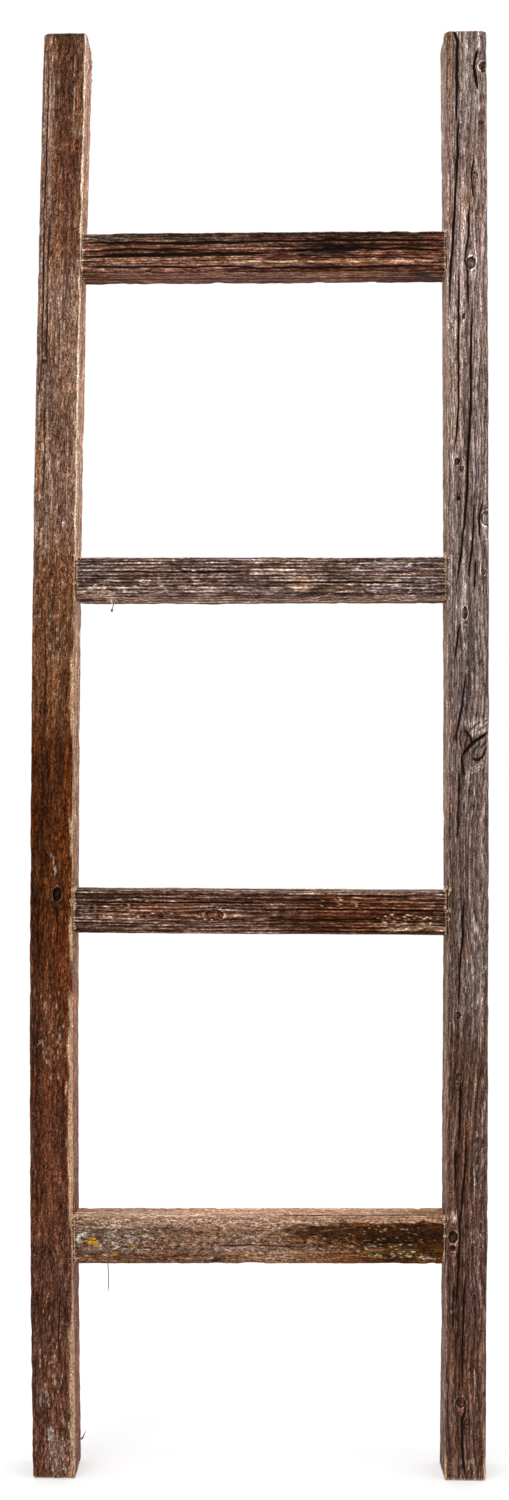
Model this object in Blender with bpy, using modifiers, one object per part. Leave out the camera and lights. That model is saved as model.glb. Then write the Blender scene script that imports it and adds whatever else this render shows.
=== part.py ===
"""A blanket ladder of reclaimed boards: two rails, with four rungs butted between them and screwed.

Metres, +Z up. X runs across the ladder, its front faces -Y, and its origin is on the floor, at the
middle of its outline.
"""

import math

import bmesh
import bpy
from mathutils import Euler, Matrix, Vector

# The ladder
HEIGHT = 1.524  # floor to the rails' tops
FOOT_SPREAD = 0.4321  # between the rails' centre lines, at the floor
RAIL_DEPTH = 0.062
RAIL_ARRIS = 0.003  # worn radius of the rails' edges
RUNG_DEPTH = 0.045
RUNG_ARRIS = 0.0022
BOTTOM_RUNG_RISE = 0.2521  # floor to the bottom rung's middle
TOP_RUNG_DROP = 0.2336  # top rung's middle to the rails' tops
FIT = 0.0003  # gap between pieces that touch
RUNG_MIDDLE_Y = (RUNG_DEPTH - RAIL_DEPTH) / 2  # the rungs lie flush with the rails' fronts

# Each rail: its width across, how far its top comes in, and how far its middle bows out
RAILS = {
    "left": {"side": -1, "width": 0.0455, "lean": 0.0120, "bow": 0.0078},
    "right": {"side": 1, "width": 0.0440, "lean": -0.0007, "bow": 0.0033},
}

# Each rung, from the floor up: its height, how far it sits off its even place, and how much its
# right end lies above its left
RUNGS = (
    {"name": "bottom", "height": 0.0488, "offset": 0.0, "rise": 0.0012},
    {"name": "lower", "height": 0.0455, "offset": -0.0014, "rise": -0.0022},
    {"name": "upper", "height": 0.0452, "offset": 0.0031, "rise": 0.0},
    {"name": "top", "height": 0.0430, "offset": 0.0, "rise": 0.0007},
)

# The screws: a countersunk head, a plain shank and a point
SHANK_RADIUS = 0.0022
HEAD_RADIUS = 0.0043
HEAD_RIM = 0.0004
HEAD_CONE = 0.0024
POINT_LENGTH = 0.007
GRIP = 0.030  # how far a screw enters the rung
SINK = 0.0006  # head below the rail's face
SCREW_EDGE = 0.0125  # screw to the rung's upper or lower face
RECESS_ARM = 0.0023  # from the screw's axis to the end of an arm of its cross
RECESS_WIDTH = 0.0011
RECESS_DEPTH = 0.0019

RAIL_STEPS = 12  # straight lengths that make up a rail's bow
ARRIS_SEGMENTS = 2
SCREW_SIDES = 16
CUTTER_REACH = 0.003  # how far a cutter runs past the face it opens

WOODS = {
    "left_rail": ((0.125, 0.078, 0.052), 0.80),
    "right_rail": ((0.170, 0.135, 0.110), 0.85),
    "top_rung": ((0.110, 0.066, 0.044), 0.82),
    "upper_rung": ((0.165, 0.130, 0.105), 0.85),
    "lower_rung": ((0.155, 0.115, 0.088), 0.85),
    "bottom_rung": ((0.175, 0.135, 0.090), 0.86),
}
STEEL = ((0.23, 0.20, 0.17), 0.55)


def clear_scene():
    for ob in list(bpy.data.objects):
        bpy.data.objects.remove(ob, do_unlink=True)


def new_collection(name):
    collection = bpy.data.collections.new(name)
    bpy.context.scene.collection.children.link(collection)
    return collection


def material(name, colour, roughness, metallic):
    made = bpy.data.materials.new(name)
    made.use_nodes = True
    shader = made.node_tree.nodes["Principled BSDF"]
    shader.inputs["Base Color"].default_value = (*colour, 1.0)
    shader.inputs["Roughness"].default_value = roughness
    shader.inputs["Metallic"].default_value = metallic
    return made


def line_x(rail, z):
    """The X of a rail's centre line at a height, before the ladder is centred."""
    along = z / HEIGHT
    out = FOOT_SPREAD / 2 - rail["lean"] * along + rail["bow"] * 4 * along * (1 - along)
    return rail["side"] * out


def outline_middle():
    """The X of the middle of the ladder's outline, which the origin lies on."""
    heights = [HEIGHT * i / RAIL_STEPS for i in range(RAIL_STEPS + 1)]
    left, right = RAILS["left"], RAILS["right"]
    lowest = min(line_x(left, z) for z in heights) - left["width"] / 2
    highest = max(line_x(right, z) for z in heights) + right["width"] / 2
    return (lowest + highest) / 2


def centre_x(rail, z):
    return line_x(rail, z) - outline_middle()


def inner_x(rail, z):
    return centre_x(rail, z) - rail["side"] * rail["width"] / 2


def outer_x(rail, z):
    return centre_x(rail, z) + rail["side"] * rail["width"] / 2


def rung_z(index, side):
    """The height of a rung's middle at its left end (side -1), its centre (0) or its right end (1)."""
    rung = RUNGS[index]
    even = (HEIGHT - TOP_RUNG_DROP - BOTTOM_RUNG_RISE) / (len(RUNGS) - 1)
    return BOTTOM_RUNG_RISE + even * index + rung["offset"] + side * rung["rise"] / 2


def block(size):
    """A box round the origin, as a bmesh."""
    bm = bmesh.new()
    bmesh.ops.create_cube(bm, size=1.0, matrix=Matrix.Diagonal((*size, 1.0)))
    return bm


def round_edges(bm, edges, radius):
    bmesh.ops.bevel(
        bm,
        geom=edges,
        offset=radius,
        offset_type="OFFSET",
        segments=ARRIS_SEGMENTS,
        profile=0.5,
        affect="EDGES",
    )


def finished(bm, name, collection, look):
    """An object made from a bmesh, with smooth rounds and its own material."""
    bmesh.ops.recalc_face_normals(bm, faces=bm.faces[:])
    mesh = bpy.data.meshes.new(name)
    bm.to_mesh(mesh)
    bm.free()
    mesh.shade_smooth()
    mesh.set_sharp_from_angle(angle=math.radians(40))
    ob = bpy.data.objects.new(name, mesh)
    ob.data.materials.append(material(name + "_wood", *look, 0.0))
    collection.objects.link(ob)
    return ob


def make_rail(side, collection):
    """A board with all its edges worn, bowed along its length."""
    rail = RAILS[side]
    name = side + "_rail"
    bm = block((rail["width"], RAIL_DEPTH, HEIGHT))
    round_edges(bm, bm.edges[:], RAIL_ARRIS)
    bmesh.ops.translate(bm, verts=bm.verts[:], vec=(0.0, 0.0, HEIGHT / 2))
    for step in range(1, RAIL_STEPS):
        bmesh.ops.bisect_plane(
            bm,
            geom=bm.verts[:] + bm.edges[:] + bm.faces[:],
            plane_co=(0.0, 0.0, HEIGHT * step / RAIL_STEPS),
            plane_no=(0.0, 0.0, 1.0),
        )
    for vert in bm.verts:
        vert.co.x += centre_x(rail, vert.co.z)
    return finished(bm, name, collection, WOODS[name])


def make_rung(index, collection):
    """A board with its long edges worn and its ends cut to the rails' inner faces."""
    rung = RUNGS[index]
    name = rung["name"] + "_rung"
    bm = block((FOOT_SPREAD, RUNG_DEPTH, rung["height"]))
    long_edges = [e for e in bm.edges if abs(e.verts[0].co.x - e.verts[1].co.x) > 0]
    round_edges(bm, long_edges, RUNG_ARRIS)
    for vert in bm.verts:
        side = 1 if vert.co.x > 0 else -1
        rail = RAILS["right" if side > 0 else "left"]
        vert.co.y += RUNG_MIDDLE_Y
        vert.co.z += rung_z(index, side)
        vert.co.x = inner_x(rail, vert.co.z) - side * FIT
    return finished(bm, name, collection, WOODS[name])


def turned(name, profile):
    """A solid turned round Z, from points (radius, height) that run from its top to its bottom."""
    mesh = bpy.data.meshes.new(name)
    points = [(radius, 0.0, height) for radius, height in profile]
    mesh.from_pydata(points, [(i, i + 1) for i in range(len(points) - 1)], [])
    ob = bpy.data.objects.new(name, mesh)
    bpy.context.scene.collection.objects.link(ob)
    turn = ob.modifiers.new("turn", "SCREW")
    turn.angle = 2 * math.pi
    turn.steps = SCREW_SIDES
    turn.render_steps = SCREW_SIDES
    turn.use_merge_vertices = True
    turn.merge_threshold = 0.00001
    return ob


def cut(ob, cutter):
    boolean = ob.modifiers.new(cutter.name, "BOOLEAN")
    boolean.operation = "DIFFERENCE"
    boolean.solver = "EXACT"
    boolean.object = cutter


def made_mesh(ob, name):
    """The mesh that an object's modifiers make, with smooth rounds."""
    depsgraph = bpy.context.evaluated_depsgraph_get()
    mesh = bpy.data.meshes.new_from_object(ob.evaluated_get(depsgraph))
    mesh.name = name
    mesh.shade_smooth()
    mesh.set_sharp_from_angle(angle=math.radians(30))
    return mesh


def screw_length(rail):
    return rail["width"] - SINK + FIT + GRIP


def screw_mesh(rail):
    """A screw with its head's face at the origin and its point down -Z."""
    length = screw_length(rail)
    blank = turned(
        "blank",
        (
            (0.0, 0.0),
            (HEAD_RADIUS, 0.0),
            (HEAD_RADIUS, -HEAD_RIM),
            (SHANK_RADIUS, -HEAD_RIM - HEAD_CONE),
            (SHANK_RADIUS, POINT_LENGTH - length),
            (0.0, -length),
        ),
    )
    arms = []
    for size in ((RECESS_ARM * 2, RECESS_WIDTH), (RECESS_WIDTH, RECESS_ARM * 2)):
        bpy.ops.mesh.primitive_cube_add(size=1.0)
        arm = bpy.context.object
        arm.data.transform(Matrix.Diagonal((*size, RECESS_DEPTH * 2, 1.0)))
        cut(blank, arm)
        arms.append(arm)
    mesh = made_mesh(blank, "screw_" + str(rail["side"]))
    for ob in (blank, *arms):
        bpy.data.objects.remove(ob, do_unlink=True)
    return mesh


def hole_mesh(rail):
    """The screw's shape, larger by the fit all round and open above its head."""
    length = screw_length(rail)
    shape = turned(
        "hole",
        (
            (0.0, SINK + CUTTER_REACH),
            (HEAD_RADIUS + FIT, SINK + CUTTER_REACH),
            (HEAD_RADIUS + FIT, -HEAD_RIM - FIT),
            (SHANK_RADIUS + FIT, -HEAD_RIM - HEAD_CONE - FIT),
            (SHANK_RADIUS + FIT, POINT_LENGTH - length),
            (0.0, -length - FIT * POINT_LENGTH / SHANK_RADIUS),
        ),
    )
    mesh = made_mesh(shape, "hole_" + str(rail["side"]))
    bpy.data.objects.remove(shape, do_unlink=True)
    return mesh


def screw_place(rail, index, end):
    """Where the face of a screw's head lies: end is 1 for a rung's upper screw and -1 for its lower."""
    z = rung_z(index, rail["side"]) + end * (RUNGS[index]["height"] / 2 - SCREW_EDGE)
    x = outer_x(rail, z) - rail["side"] * SINK
    return Vector((x, RUNG_MIDDLE_Y, z))


def placed(name, mesh, place, rail, collection):
    ob = bpy.data.objects.new(name, mesh)
    ob.location = place
    ob.rotation_euler = Euler((0.0, rail["side"] * math.pi / 2, 0.0))
    collection.objects.link(ob)
    return ob


def build():
    clear_scene()
    ladder = new_collection("blanket_ladder")
    cutters = new_collection("cutters")
    rails = {side: make_rail(side, ladder) for side in RAILS}
    rungs = [make_rung(index, ladder) for index in range(len(RUNGS))]
    steel = material("screw_steel", *STEEL, 0.9)
    for side, rail in RAILS.items():
        screw = screw_mesh(rail)
        screw.materials.clear()
        screw.materials.append(steel)
        hole = hole_mesh(rail)
        for index, rung in enumerate(RUNGS):
            for end, level in ((1, "upper"), (-1, "lower")):
                name = f"{rung['name']}_rung_{side}_screw_{level}"
                place = screw_place(rail, index, end)
                placed(name, screw, place, rail, ladder)
                cutter = placed(name + "_hole", hole, place, rail, cutters)
                cutter.hide_render = True
                cutter.display_type = "WIRE"
                cut(rails[side], cutter)
                cut(rungs[index], cutter)


build()
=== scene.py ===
"""The looks of a blanket ladder of weathered boards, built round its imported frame.

Each board is a dense skin over its solid: a box whose edges are worn round, with raised grain,
cracks, knots and stains that follow the wood's growth rings. Metres throughout, and on a board
"across" and "along" are measured on its face, across from its centre line and along from its foot
or its left end.
"""

import itertools
import math

import bmesh
import bpy
import numpy as np
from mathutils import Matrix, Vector


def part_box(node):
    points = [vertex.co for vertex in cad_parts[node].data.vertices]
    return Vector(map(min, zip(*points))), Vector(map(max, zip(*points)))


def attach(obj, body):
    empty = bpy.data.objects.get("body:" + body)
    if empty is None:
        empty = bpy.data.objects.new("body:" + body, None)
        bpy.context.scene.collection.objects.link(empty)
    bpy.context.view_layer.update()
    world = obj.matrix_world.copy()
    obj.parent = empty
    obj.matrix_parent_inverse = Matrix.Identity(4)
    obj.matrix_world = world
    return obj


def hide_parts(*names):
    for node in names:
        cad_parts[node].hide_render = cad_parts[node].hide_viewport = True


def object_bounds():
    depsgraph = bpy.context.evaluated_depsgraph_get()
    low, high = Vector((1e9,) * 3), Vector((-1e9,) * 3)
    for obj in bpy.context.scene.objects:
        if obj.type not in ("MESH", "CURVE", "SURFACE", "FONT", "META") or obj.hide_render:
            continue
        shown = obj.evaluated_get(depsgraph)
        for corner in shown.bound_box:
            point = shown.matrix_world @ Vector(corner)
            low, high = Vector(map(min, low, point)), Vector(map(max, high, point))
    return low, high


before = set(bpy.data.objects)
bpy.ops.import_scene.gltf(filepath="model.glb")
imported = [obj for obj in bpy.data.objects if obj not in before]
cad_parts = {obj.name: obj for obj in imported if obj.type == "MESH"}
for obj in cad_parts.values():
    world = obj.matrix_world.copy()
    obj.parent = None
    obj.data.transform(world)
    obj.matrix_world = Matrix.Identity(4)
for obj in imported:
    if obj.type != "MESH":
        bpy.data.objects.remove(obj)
cad_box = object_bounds()

MM = 0.001

# The sides of a board, as its marks name them
FRONT, RIGHT, BACK, LEFT, ENDS = range(5)

# How much thicker the rough skins are than the plain boards under them
RAIL_SWELL = 1.2 * MM
RUNG_SWELL = 2.0 * MM

# Screws
SCREW_SIDES = 48
HEAD_RADIUS = 4.3 * MM
HEAD_SINK = 0.35 * MM
SHANK_RADIUS = 2.15 * MM
TIP_RADIUS = 0.35 * MM
TIP_TAPER = 8.0 * MM
TIP_CLEARANCE = 0.6 * MM
HOLE_RADIUS = 4.7 * MM
HOLE_DEPTH = 3.0 * MM + RAIL_SWELL / 2
HOLE_LINES = np.array([0.0, 0.5, 0.92, 1.0, 1.12, 1.4, 1.8]) * HOLE_RADIUS
HOLE_BLEND = (1.12 * HOLE_RADIUS, 1.8 * HOLE_RADIUS)

# A board's skin: rings on its ends, and shares of its map
CAP_INSETS = np.array([0.5, 1.1, 1.8, 2.8, 4.2, 6.0, 8.5, 11.5, 15.0, 18.5]) * MM
KNOT_ROW = 1.9 * MM
MAP_EDGE = 0.002
MAP_SIDES = 0.93

# Colours, linear, as they look in the photo's light; this share of them is the wood's own
LIT = 0.93
TAN = (0.58, 0.36, 0.21)
# A cream painted highlight, laid beside the left rail's inner front arris
CREAM_HIGHLIGHT = (0.92, 0.68, 0.50)
FRESH = (0.74, 0.47, 0.30)
NEAR_BLACK = (0.012, 0.007, 0.005)
RUST = (0.16, 0.045, 0.016)
ASH = (0.50, 0.42, 0.37)
ORANGE_LICHEN = (0.42, 0.20, 0.02)
MOSS = (0.13, 0.10, 0.022)

# Where no crack is near, how far inside one's edge a point lies, in mm; where no knot is near, how many
# of its radii away it lies
NO_CRACK = -6.0
NO_KNOT = 4.0

# The sides round a splinter
STRAND_SIDES = 6

# The studio
FLOOR_REACH = 30.0
PAPER_GREY = 0.60
PAPER_GLOW = 0.42
WORLD_STRENGTH = 1.02

# How each board's fine grain looks: lengths in mm, and how strong its bright flecks and ring lines are
LOOKS = {
    "left_rail": {"fibre": 14.0, "dash": 3.6, "speck": 1.7, "spark": 1.5, "line": 0.12},
    "right_rail": {"fibre": 26.0, "dash": 8.0, "speck": 2.2, "spark": 1.0, "line": 0.38},
    "top_rung": {"fibre": 40.0, "dash": 11.0, "speck": 2.6, "spark": 1.4, "line": 0.5},
    "upper_rung": {"fibre": 40.0, "dash": 9.0, "speck": 3.0, "spark": 1.5, "line": 0.35},
    "lower_rung": {"fibre": 40.0, "dash": 8.0, "speck": 2.8, "spark": 1.5, "line": 0.35},
    "bottom_rung": {"fibre": 10.0, "dash": 3.4, "speck": 1.6, "spark": 0.8, "line": 0.06},
}


# Repeatable noise

def lattice(cells, seed):
    """A repeatable number from -1 to 1 for each whole-number place."""
    bits = cells[:, 0] * 374761393 + cells[:, 1] * 668265263 + cells[:, 2] * 1440670441 + seed * 974634777
    bits = bits & 0xFFFFFFFF
    bits = ((bits ^ (bits >> 13)) * 1274126177) & 0xFFFFFFFF
    bits = bits ^ (bits >> 16)
    return (bits & 0xFFFF) / 0x7FFF - 1.0


def noise(points, size, seed):
    """Smooth noise from -1 to 1, whose blotches have this size along each axis."""
    places = points / np.asarray(size, float)
    low = np.floor(places).astype(np.int64)
    part = places - low
    part = part * part * (3.0 - 2.0 * part)
    total = np.zeros(len(points))
    for corner in itertools.product((0, 1), repeat=3):
        share = np.prod(np.where(corner, part, 1.0 - part), axis=1)
        total += share * lattice(low + np.array(corner), seed)
    return total


def layered(points, size, seed, layers=3):
    """Noise with finer noise on it, each layer half as large and half as strong."""
    total = np.zeros(len(points))
    for layer in range(layers):
        total += noise(points, np.asarray(size, float) / 2**layer, seed + layer) / 2**layer
    return total / 1.5


def smooth(low, high, value):
    """0 below low and 1 above high, with a smooth climb between; it falls instead where low > high."""
    part = np.clip((value - low) / (high - low), 0.0, 1.0)
    return part * part * (3.0 - 2.0 * part)


def mix(colours, colour, share):
    """Colours with a share of another laid over them."""
    share = np.asarray(share)[:, None]
    return colours * (1.0 - share) + np.asarray(colour) * share


def along_stops(along, stops):
    """Colours blended between stops (along in mm, red, green, blue)."""
    table = np.array(sorted(stops), float)
    return np.stack([np.interp(along / MM, table[:, 0], table[:, k]) for k in (1, 2, 3)], axis=1)


# A board's skin

def stations(length, step, zones=()):
    """Positions from 0 to a length, a step apart, and closer in each zone (middle, reach, step)."""
    fine = np.linspace(0.0, length, 4001)
    pitch = np.full(len(fine), step)
    for middle, reach, close in zones:
        near = np.clip(2.0 - np.abs(fine - middle) / reach, 0.0, 1.0)
        pitch = np.minimum(pitch, step + (close - step) * near)
    run = np.concatenate([[0.0], np.cumsum(np.diff(fine) * 2.0 / (pitch[1:] + pitch[:-1]))])
    count = int(math.ceil(run[-1]))
    return np.interp(np.linspace(0.0, run[-1], count + 1), run, fine)


def round_holes(lines, centres):
    """The same positions, but set to fit a screw hole round each centre."""
    for centre in centres:
        lines = lines[np.abs(lines - centre) > 2.0 * HOLE_RADIUS]
        lines = np.concatenate([lines, centre - HOLE_LINES[1:], centre + HOLE_LINES])
    return np.sort(lines)


def skin(board):
    """A board's points on its plain box (across, depth, along), the side each lies on, and its faces with
    their map: u runs round the board and v along it, with both ends laid flat in a strip above."""
    width, depth, length = board["size"]
    fine, coarse = board["columns"]
    across = stations(width, fine) - width / 2
    back = stations(width, coarse) - width / 2
    sides = {RIGHT: stations(depth, coarse) - depth / 2, LEFT: stations(depth, coarse) - depth / 2}
    zones = [(along * MM, 2.0 * tall * MM, KNOT_ROW) for knot_side, _, along, _, tall, _ in board["knots"]
             if knot_side == FRONT]
    rows = stations(length, board["row"], board["row_zones"] + zones)
    if board["screws"]:
        sides[board["screw_side"]] = round_holes(sides[board["screw_side"]], [board["screws"][0][0]])
        rows = round_holes(rows, [along for _, along in board["screws"]])
    ring = [(c, -depth / 2, FRONT) for c in across[:-1]]
    ring += [(width / 2, d, RIGHT) for d in sides[RIGHT][:-1]]
    ring += [(c, depth / 2, BACK) for c in back[:0:-1]]
    ring += [(-width / 2, d, LEFT) for d in sides[LEFT][:0:-1]]
    ring = np.array(ring)
    count = len(ring)
    points = [np.column_stack([np.tile(ring[:, :2], (len(rows), 1)), np.repeat(rows, count)])]
    side = [np.tile(ring[:, 2].astype(int), len(rows))]
    turn = np.arange(count)
    after = (turn + 1) % count
    lengths = np.hypot(*(ring[after, :2] - ring[:, :2]).T)
    run = MAP_EDGE + (1 - 2 * MAP_EDGE) * np.concatenate([[0.0], np.cumsum(lengths)]) / lengths.sum()
    quads, quad_map = [], []
    for row in range(len(rows) - 1):
        low, high = row * count, (row + 1) * count
        quads.append(np.column_stack([low + turn, low + after, high + after, high + turn]))
        u = np.column_stack([run[:-1], run[1:], run[1:], run[:-1]])
        v = MAP_EDGE + MAP_SIDES * np.array([rows[row], rows[row], rows[row + 1], rows[row + 1]]) / length
        quad_map.append(np.stack([u, np.broadcast_to(v, u.shape)], axis=2))
    fans, fan_map = [], []
    for end, along in ((0, 0.0), (1, length)):
        start = sum(len(part) for part in points)
        cap = np.concatenate([ring[:, :2] * (1.0 - 2 * inset / min(width, depth)) for inset in CAP_INSETS])
        cap = np.vstack([cap, (0.0, 0.0)])
        points.append(np.column_stack([cap, np.full(len(cap), along)]))
        side.append(np.full(len(cap), ENDS))
        loops = [end * (len(rows) - 1) * count + turn]
        loops += [start + k * count + turn for k in range(len(CAP_INSETS))]
        flat = np.vstack(points)
        for outer, inner in zip(loops[:-1], loops[1:], strict=True):
            made = np.column_stack([outer, outer[after], inner[after], inner])
            made = made if end else made[:, ::-1]
            quads.append(made)
            quad_map.append(end_map(flat[made], end, width, depth))
        centre = np.full(count, start + len(cap) - 1)
        made = np.column_stack([loops[-1], loops[-1][after], centre])
        made = made if end else made[:, ::-1]
        fans.append(made)
        fan_map.append(end_map(flat[made], end, width, depth))
    faces = [(np.vstack(quads), np.vstack(quad_map)), (np.vstack(fans), np.vstack(fan_map))]
    return np.vstack(points), np.concatenate(side), faces


def end_map(corners, end, width, depth):
    """Where an end's face corners lie on the map."""
    u = (0.02, 0.52)[end] + (corners[..., 1] / depth + 0.5) * 0.46
    v = 0.945 + (corners[..., 0] / width + 0.5) * 0.05
    return np.stack([u, v], axis=2)


def hole_circles(board, points, face):
    """Draws the grid into circles round each screw hole, and gives how far each point lies from one."""
    reach = np.full(len(points), 1.0)
    for depth, along in board["screws"]:
        near = (face == board["screw_side"]) & (np.abs(points[:, 1] - depth) < HOLE_BLEND[1])
        near &= np.abs(points[:, 2] - along) < HOLE_BLEND[1]
        offset = points[near][:, 1:] - (depth, along)
        square = np.abs(offset).max(axis=1)
        shrink = np.where(square > 0, square / np.maximum(np.hypot(*offset.T), 1e-9), 1.0)
        share = 1.0 - smooth(*HOLE_BLEND, square)
        offset = offset * (1.0 + (shrink - 1.0) * share)[:, None]
        moved = points[near]
        moved[:, 1:] = offset + (depth, along)
        points[near] = moved
        reach[near] = np.where(square < HOLE_BLEND[0], square, 1.0)
    return reach


def arris_radius(board, points):
    """The worn radius of the long edge nearest to each point, with chips knocked out of it."""
    across, depth, along = points.T
    width, thick, _ = board["size"]
    radius = np.zeros(len(points))
    for (side, facing), size in board["arris"].items():
        near = (across * side >= 0) & (depth * facing >= 0)
        seed = board["seed"] + 10 * side + 100 * facing
        line = np.column_stack([np.zeros(len(points)), np.zeros(len(points)), along])
        worn = size * (1.0 + 0.35 * layered(line, (1, 1, 60 * MM), seed + 7))
        worn += size * 1.5 * smooth(0.35, 0.9, noise(line, (1, 1, 14 * MM), seed + 8))
        worn += size * 0.35 * noise(line, (1, 1, 6 * MM), seed + 9)
        for corner, middle, reach, extra in board["chips"]:
            if corner == (side, facing):
                worn = worn + extra * MM * np.exp(-(((along - middle * MM) / (reach * MM)) ** 2))
        radius = np.where(near, worn, radius)
    return np.clip(radius, 0.3 * MM, 0.3 * min(width, thick))


def rounded(board, points, radius):
    """The points with the box's edges worn round, and which way each faces."""
    half = np.array(board["size"]) / 2
    middle = points - (0.0, 0.0, half[2])
    sizes = np.column_stack([radius, radius, np.minimum(radius, board["end_radius"])])
    core = np.clip(middle, -(half - sizes), half - sizes)
    lean = (middle - core) / sizes
    facing = lean / np.linalg.norm(lean, axis=1)[:, None]
    return core + facing * sizes + (0.0, 0.0, half[2]), facing


# What the weather and the tree leave in the wood

def route_distance(u, v, route):
    """How far points lie from a route, and how far along it their nearest point is, from 0 to 1."""
    spots = np.array(route, float) * MM
    lengths = np.hypot(*np.diff(spots, axis=0).T)
    done = np.concatenate([[0.0], np.cumsum(lengths)])
    best = np.full(len(u), 1.0)
    share = np.zeros(len(u))
    for start, end, length, before in zip(spots[:-1], spots[1:], lengths, done[:-1], strict=True):
        step = end - start
        part = np.clip(((u - start[0]) * step[0] + (v - start[1]) * step[1]) / length**2, 0.0, 1.0)
        away = np.hypot(u - start[0] - part * step[0], v - start[1] - part * step[1])
        closer = away < best
        best = np.where(closer, away, best)
        share = np.where(closer, (before + part * length) / done[-1], share)
    return best, share


def face_place(surface, side):
    """The across and along of points on one side of a board, and which points lie there."""
    if side in (FRONT, BACK):
        on = surface["facing"][:, 1] * (1 if side == BACK else -1) > 0.35
        return surface["across"], surface["along"], on
    on = surface["facing"][:, 0] * (1 if side == RIGHT else -1) > 0.35
    return surface["depth"], surface["along"], on


def cut_crack(surface, side, wide, deep, route):
    """A drying crack along a route: it narrows to nothing at its ends and wanders a little. The material
    paints its core near-black as the shade inside it, with a crisp edge drawn from how far inside it
    each point lies."""
    u, v, on = face_place(surface, side)
    spots = np.array(route, float) * MM
    margin = 8 * MM
    near = on & (v > spots[:, 1].min() - margin) & (v < spots[:, 1].max() + margin)
    near &= (u > spots[:, 0].min() - margin) & (u < spots[:, 0].max() + margin)
    if not near.any():
        return
    where = np.column_stack([u[near], u[near] * 0, v[near]])
    seed = surface["seed"] + int(abs(route[0][1])) + side
    wander = 0.5 * MM * noise(where, (1, 1, 16 * MM), seed)
    wander = wander + 0.3 * MM * noise(where, (1, 1, 6 * MM), seed + 1)
    away, share = route_distance(u[near] + wander, v[near], route)
    edge = np.sqrt(np.clip(np.sin(np.pi * np.clip(share, 0.0, 1.0)) * 2.2, 0.0, 1.0))
    swell = 1.0 + 0.30 * noise(where, (1, 1, 22 * MM), seed + 2)
    half = wide * MM * 0.42 * edge * swell - 0.25 * MM * (1.0 - edge)
    inside = smooth(0.3 * MM, -0.3 * MM, away - half) * (edge > 0.02)
    surface["height"][near] -= deep * MM * inside
    # How far inside the crack each point lies, from which the material paints its shade
    surface["crack"][near] = np.maximum(surface["crack"][near], (half - away) / MM)


def draw_line(surface, side, wide, colour, route):
    """A thin line of colour along a route: a scratch, a torn fibre, a ring's pale edge, or a painted highlight
    beside an arris.
    """
    u, v, on = face_place(surface, side)
    spots = np.array(route, float) * MM
    near = on & (v > spots[:, 1].min() - 4 * MM) & (v < spots[:, 1].max() + 4 * MM)
    if not near.any():
        return
    where = np.column_stack([u[near], u[near] * 0, v[near]])
    wander = 0.4 * MM * noise(where, (1, 1, 6 * MM), surface["seed"] + int(abs(route[0][1])) + 77)
    away, share = route_distance(u[near] + wander, v[near], route)
    edge = np.sqrt(np.clip(np.sin(np.pi * np.clip(share, 0.0, 1.0)) * 2.2, 0.0, 1.0))
    strength = smooth(1.3, 0.5, away / np.maximum(wide * MM / 2 * edge, 0.1 * MM)) * (edge > 0.02)
    surface["cover"].append((near, 0.85 * strength, np.array(colour)[None, :] * np.ones((near.sum(), 1))))
    surface["height"][near] += 0.2 * MM * strength


def bend_round_knots(surface, knots):
    """Pushes the grain aside round each knot, as rings grow round a branch."""
    for side, across, along, wide, tall, _ in knots:
        u, v, _ = face_place(surface, side)
        level = {FRONT: -surface["facing"][:, 1], BACK: surface["facing"][:, 1],
                 RIGHT: surface["facing"][:, 0], LEFT: -surface["facing"][:, 0]}[side]
        reach = smooth(-0.2, 0.6, level)
        du = (u - across * MM) / (wide * MM * 1.5)
        dv = (v - along * MM) / (tall * MM * 3.2)
        pinch = np.exp(-(du**2) - dv**2) * reach * 0.85
        key = "grain_across" if side in (FRONT, BACK) else "grain_depth"
        surface[key] -= (u - across * MM) * pinch


def grow_knot(surface, side, across, along, wide, tall, kind):
    """A branch's stub: a ringed and checked disc in a pale and dark collar, or a hole where it fell out,
    painted near-black as the shade inside it.
    """
    u, v, on = face_place(surface, side)
    du, dv = (u - across * MM) / (wide * MM), (v - along * MM) / (tall * MM)
    near = on & (np.abs(du) < 4) & (np.abs(dv) < 5)
    if not near.any():
        return
    where = np.column_stack([u[near], v[near], v[near] * 0])
    seed = surface["seed"] + int(along) + 31
    away = np.hypot(du[near], dv[near]) * (1.0 + 0.16 * noise(where, (3 * MM, 3 * MM, 1), seed))
    body = smooth(1.08, 0.90, away)
    outline = np.exp(-(((away - 1.08) / 0.16) ** 2))
    collar = np.exp(-(((away - 1.42) / 0.20) ** 2)) - 0.7 * np.exp(-(((away - 1.78) / 0.18) ** 2))
    collar += 0.6 * np.exp(-(((away - 2.15) / 0.24) ** 2))
    broken = smooth(-0.9, 0.3, noise(where, (2.2 * MM, 2.2 * MM, 1), seed + 3))
    turn = np.arctan2(dv[near], du[near])
    checks = smooth(0.80, 0.97, np.cos(3.0 * turn + 2.2 * np.sin(turn * 2 + seed)))
    checks = checks * smooth(0.1, 0.5, away) * body
    rings = 0.5 + 0.5 * np.cos(away * 15.0)
    deep = {"hole": 4.0, "dark": 0.7, "pale": 0.3, "red": 0.5}[kind]
    surface["height"][near] += (0.45 * collar - 0.4 * outline - deep * body - 0.5 * checks) * MM
    surface["height"][near] += 0.2 * MM * (rings - 0.5) * body
    surface["tone"][near] += 0.9 * collar * broken - 0.9 * outline
    surface["knot"][near] = np.minimum(surface["knot"][near], away)
    # A hole's near-black is painted shade inside it; the other kinds are the knots' own colours
    shade = {"hole": NEAR_BLACK, "dark": (0.070, 0.045, 0.036), "pale": (0.22, 0.16, 0.12),
             "red": (0.15, 0.055, 0.03)}
    surface["cover"].append((near, body * 0.9, np.array(shade[kind]) * (0.55 + 0.9 * rings[:, None])))
    # The checks join the cracks, whose core the material paints near-black as shade
    surface["crack"][near] = np.maximum(surface["crack"][near], 1.2 * checks - 1.0)


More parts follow.
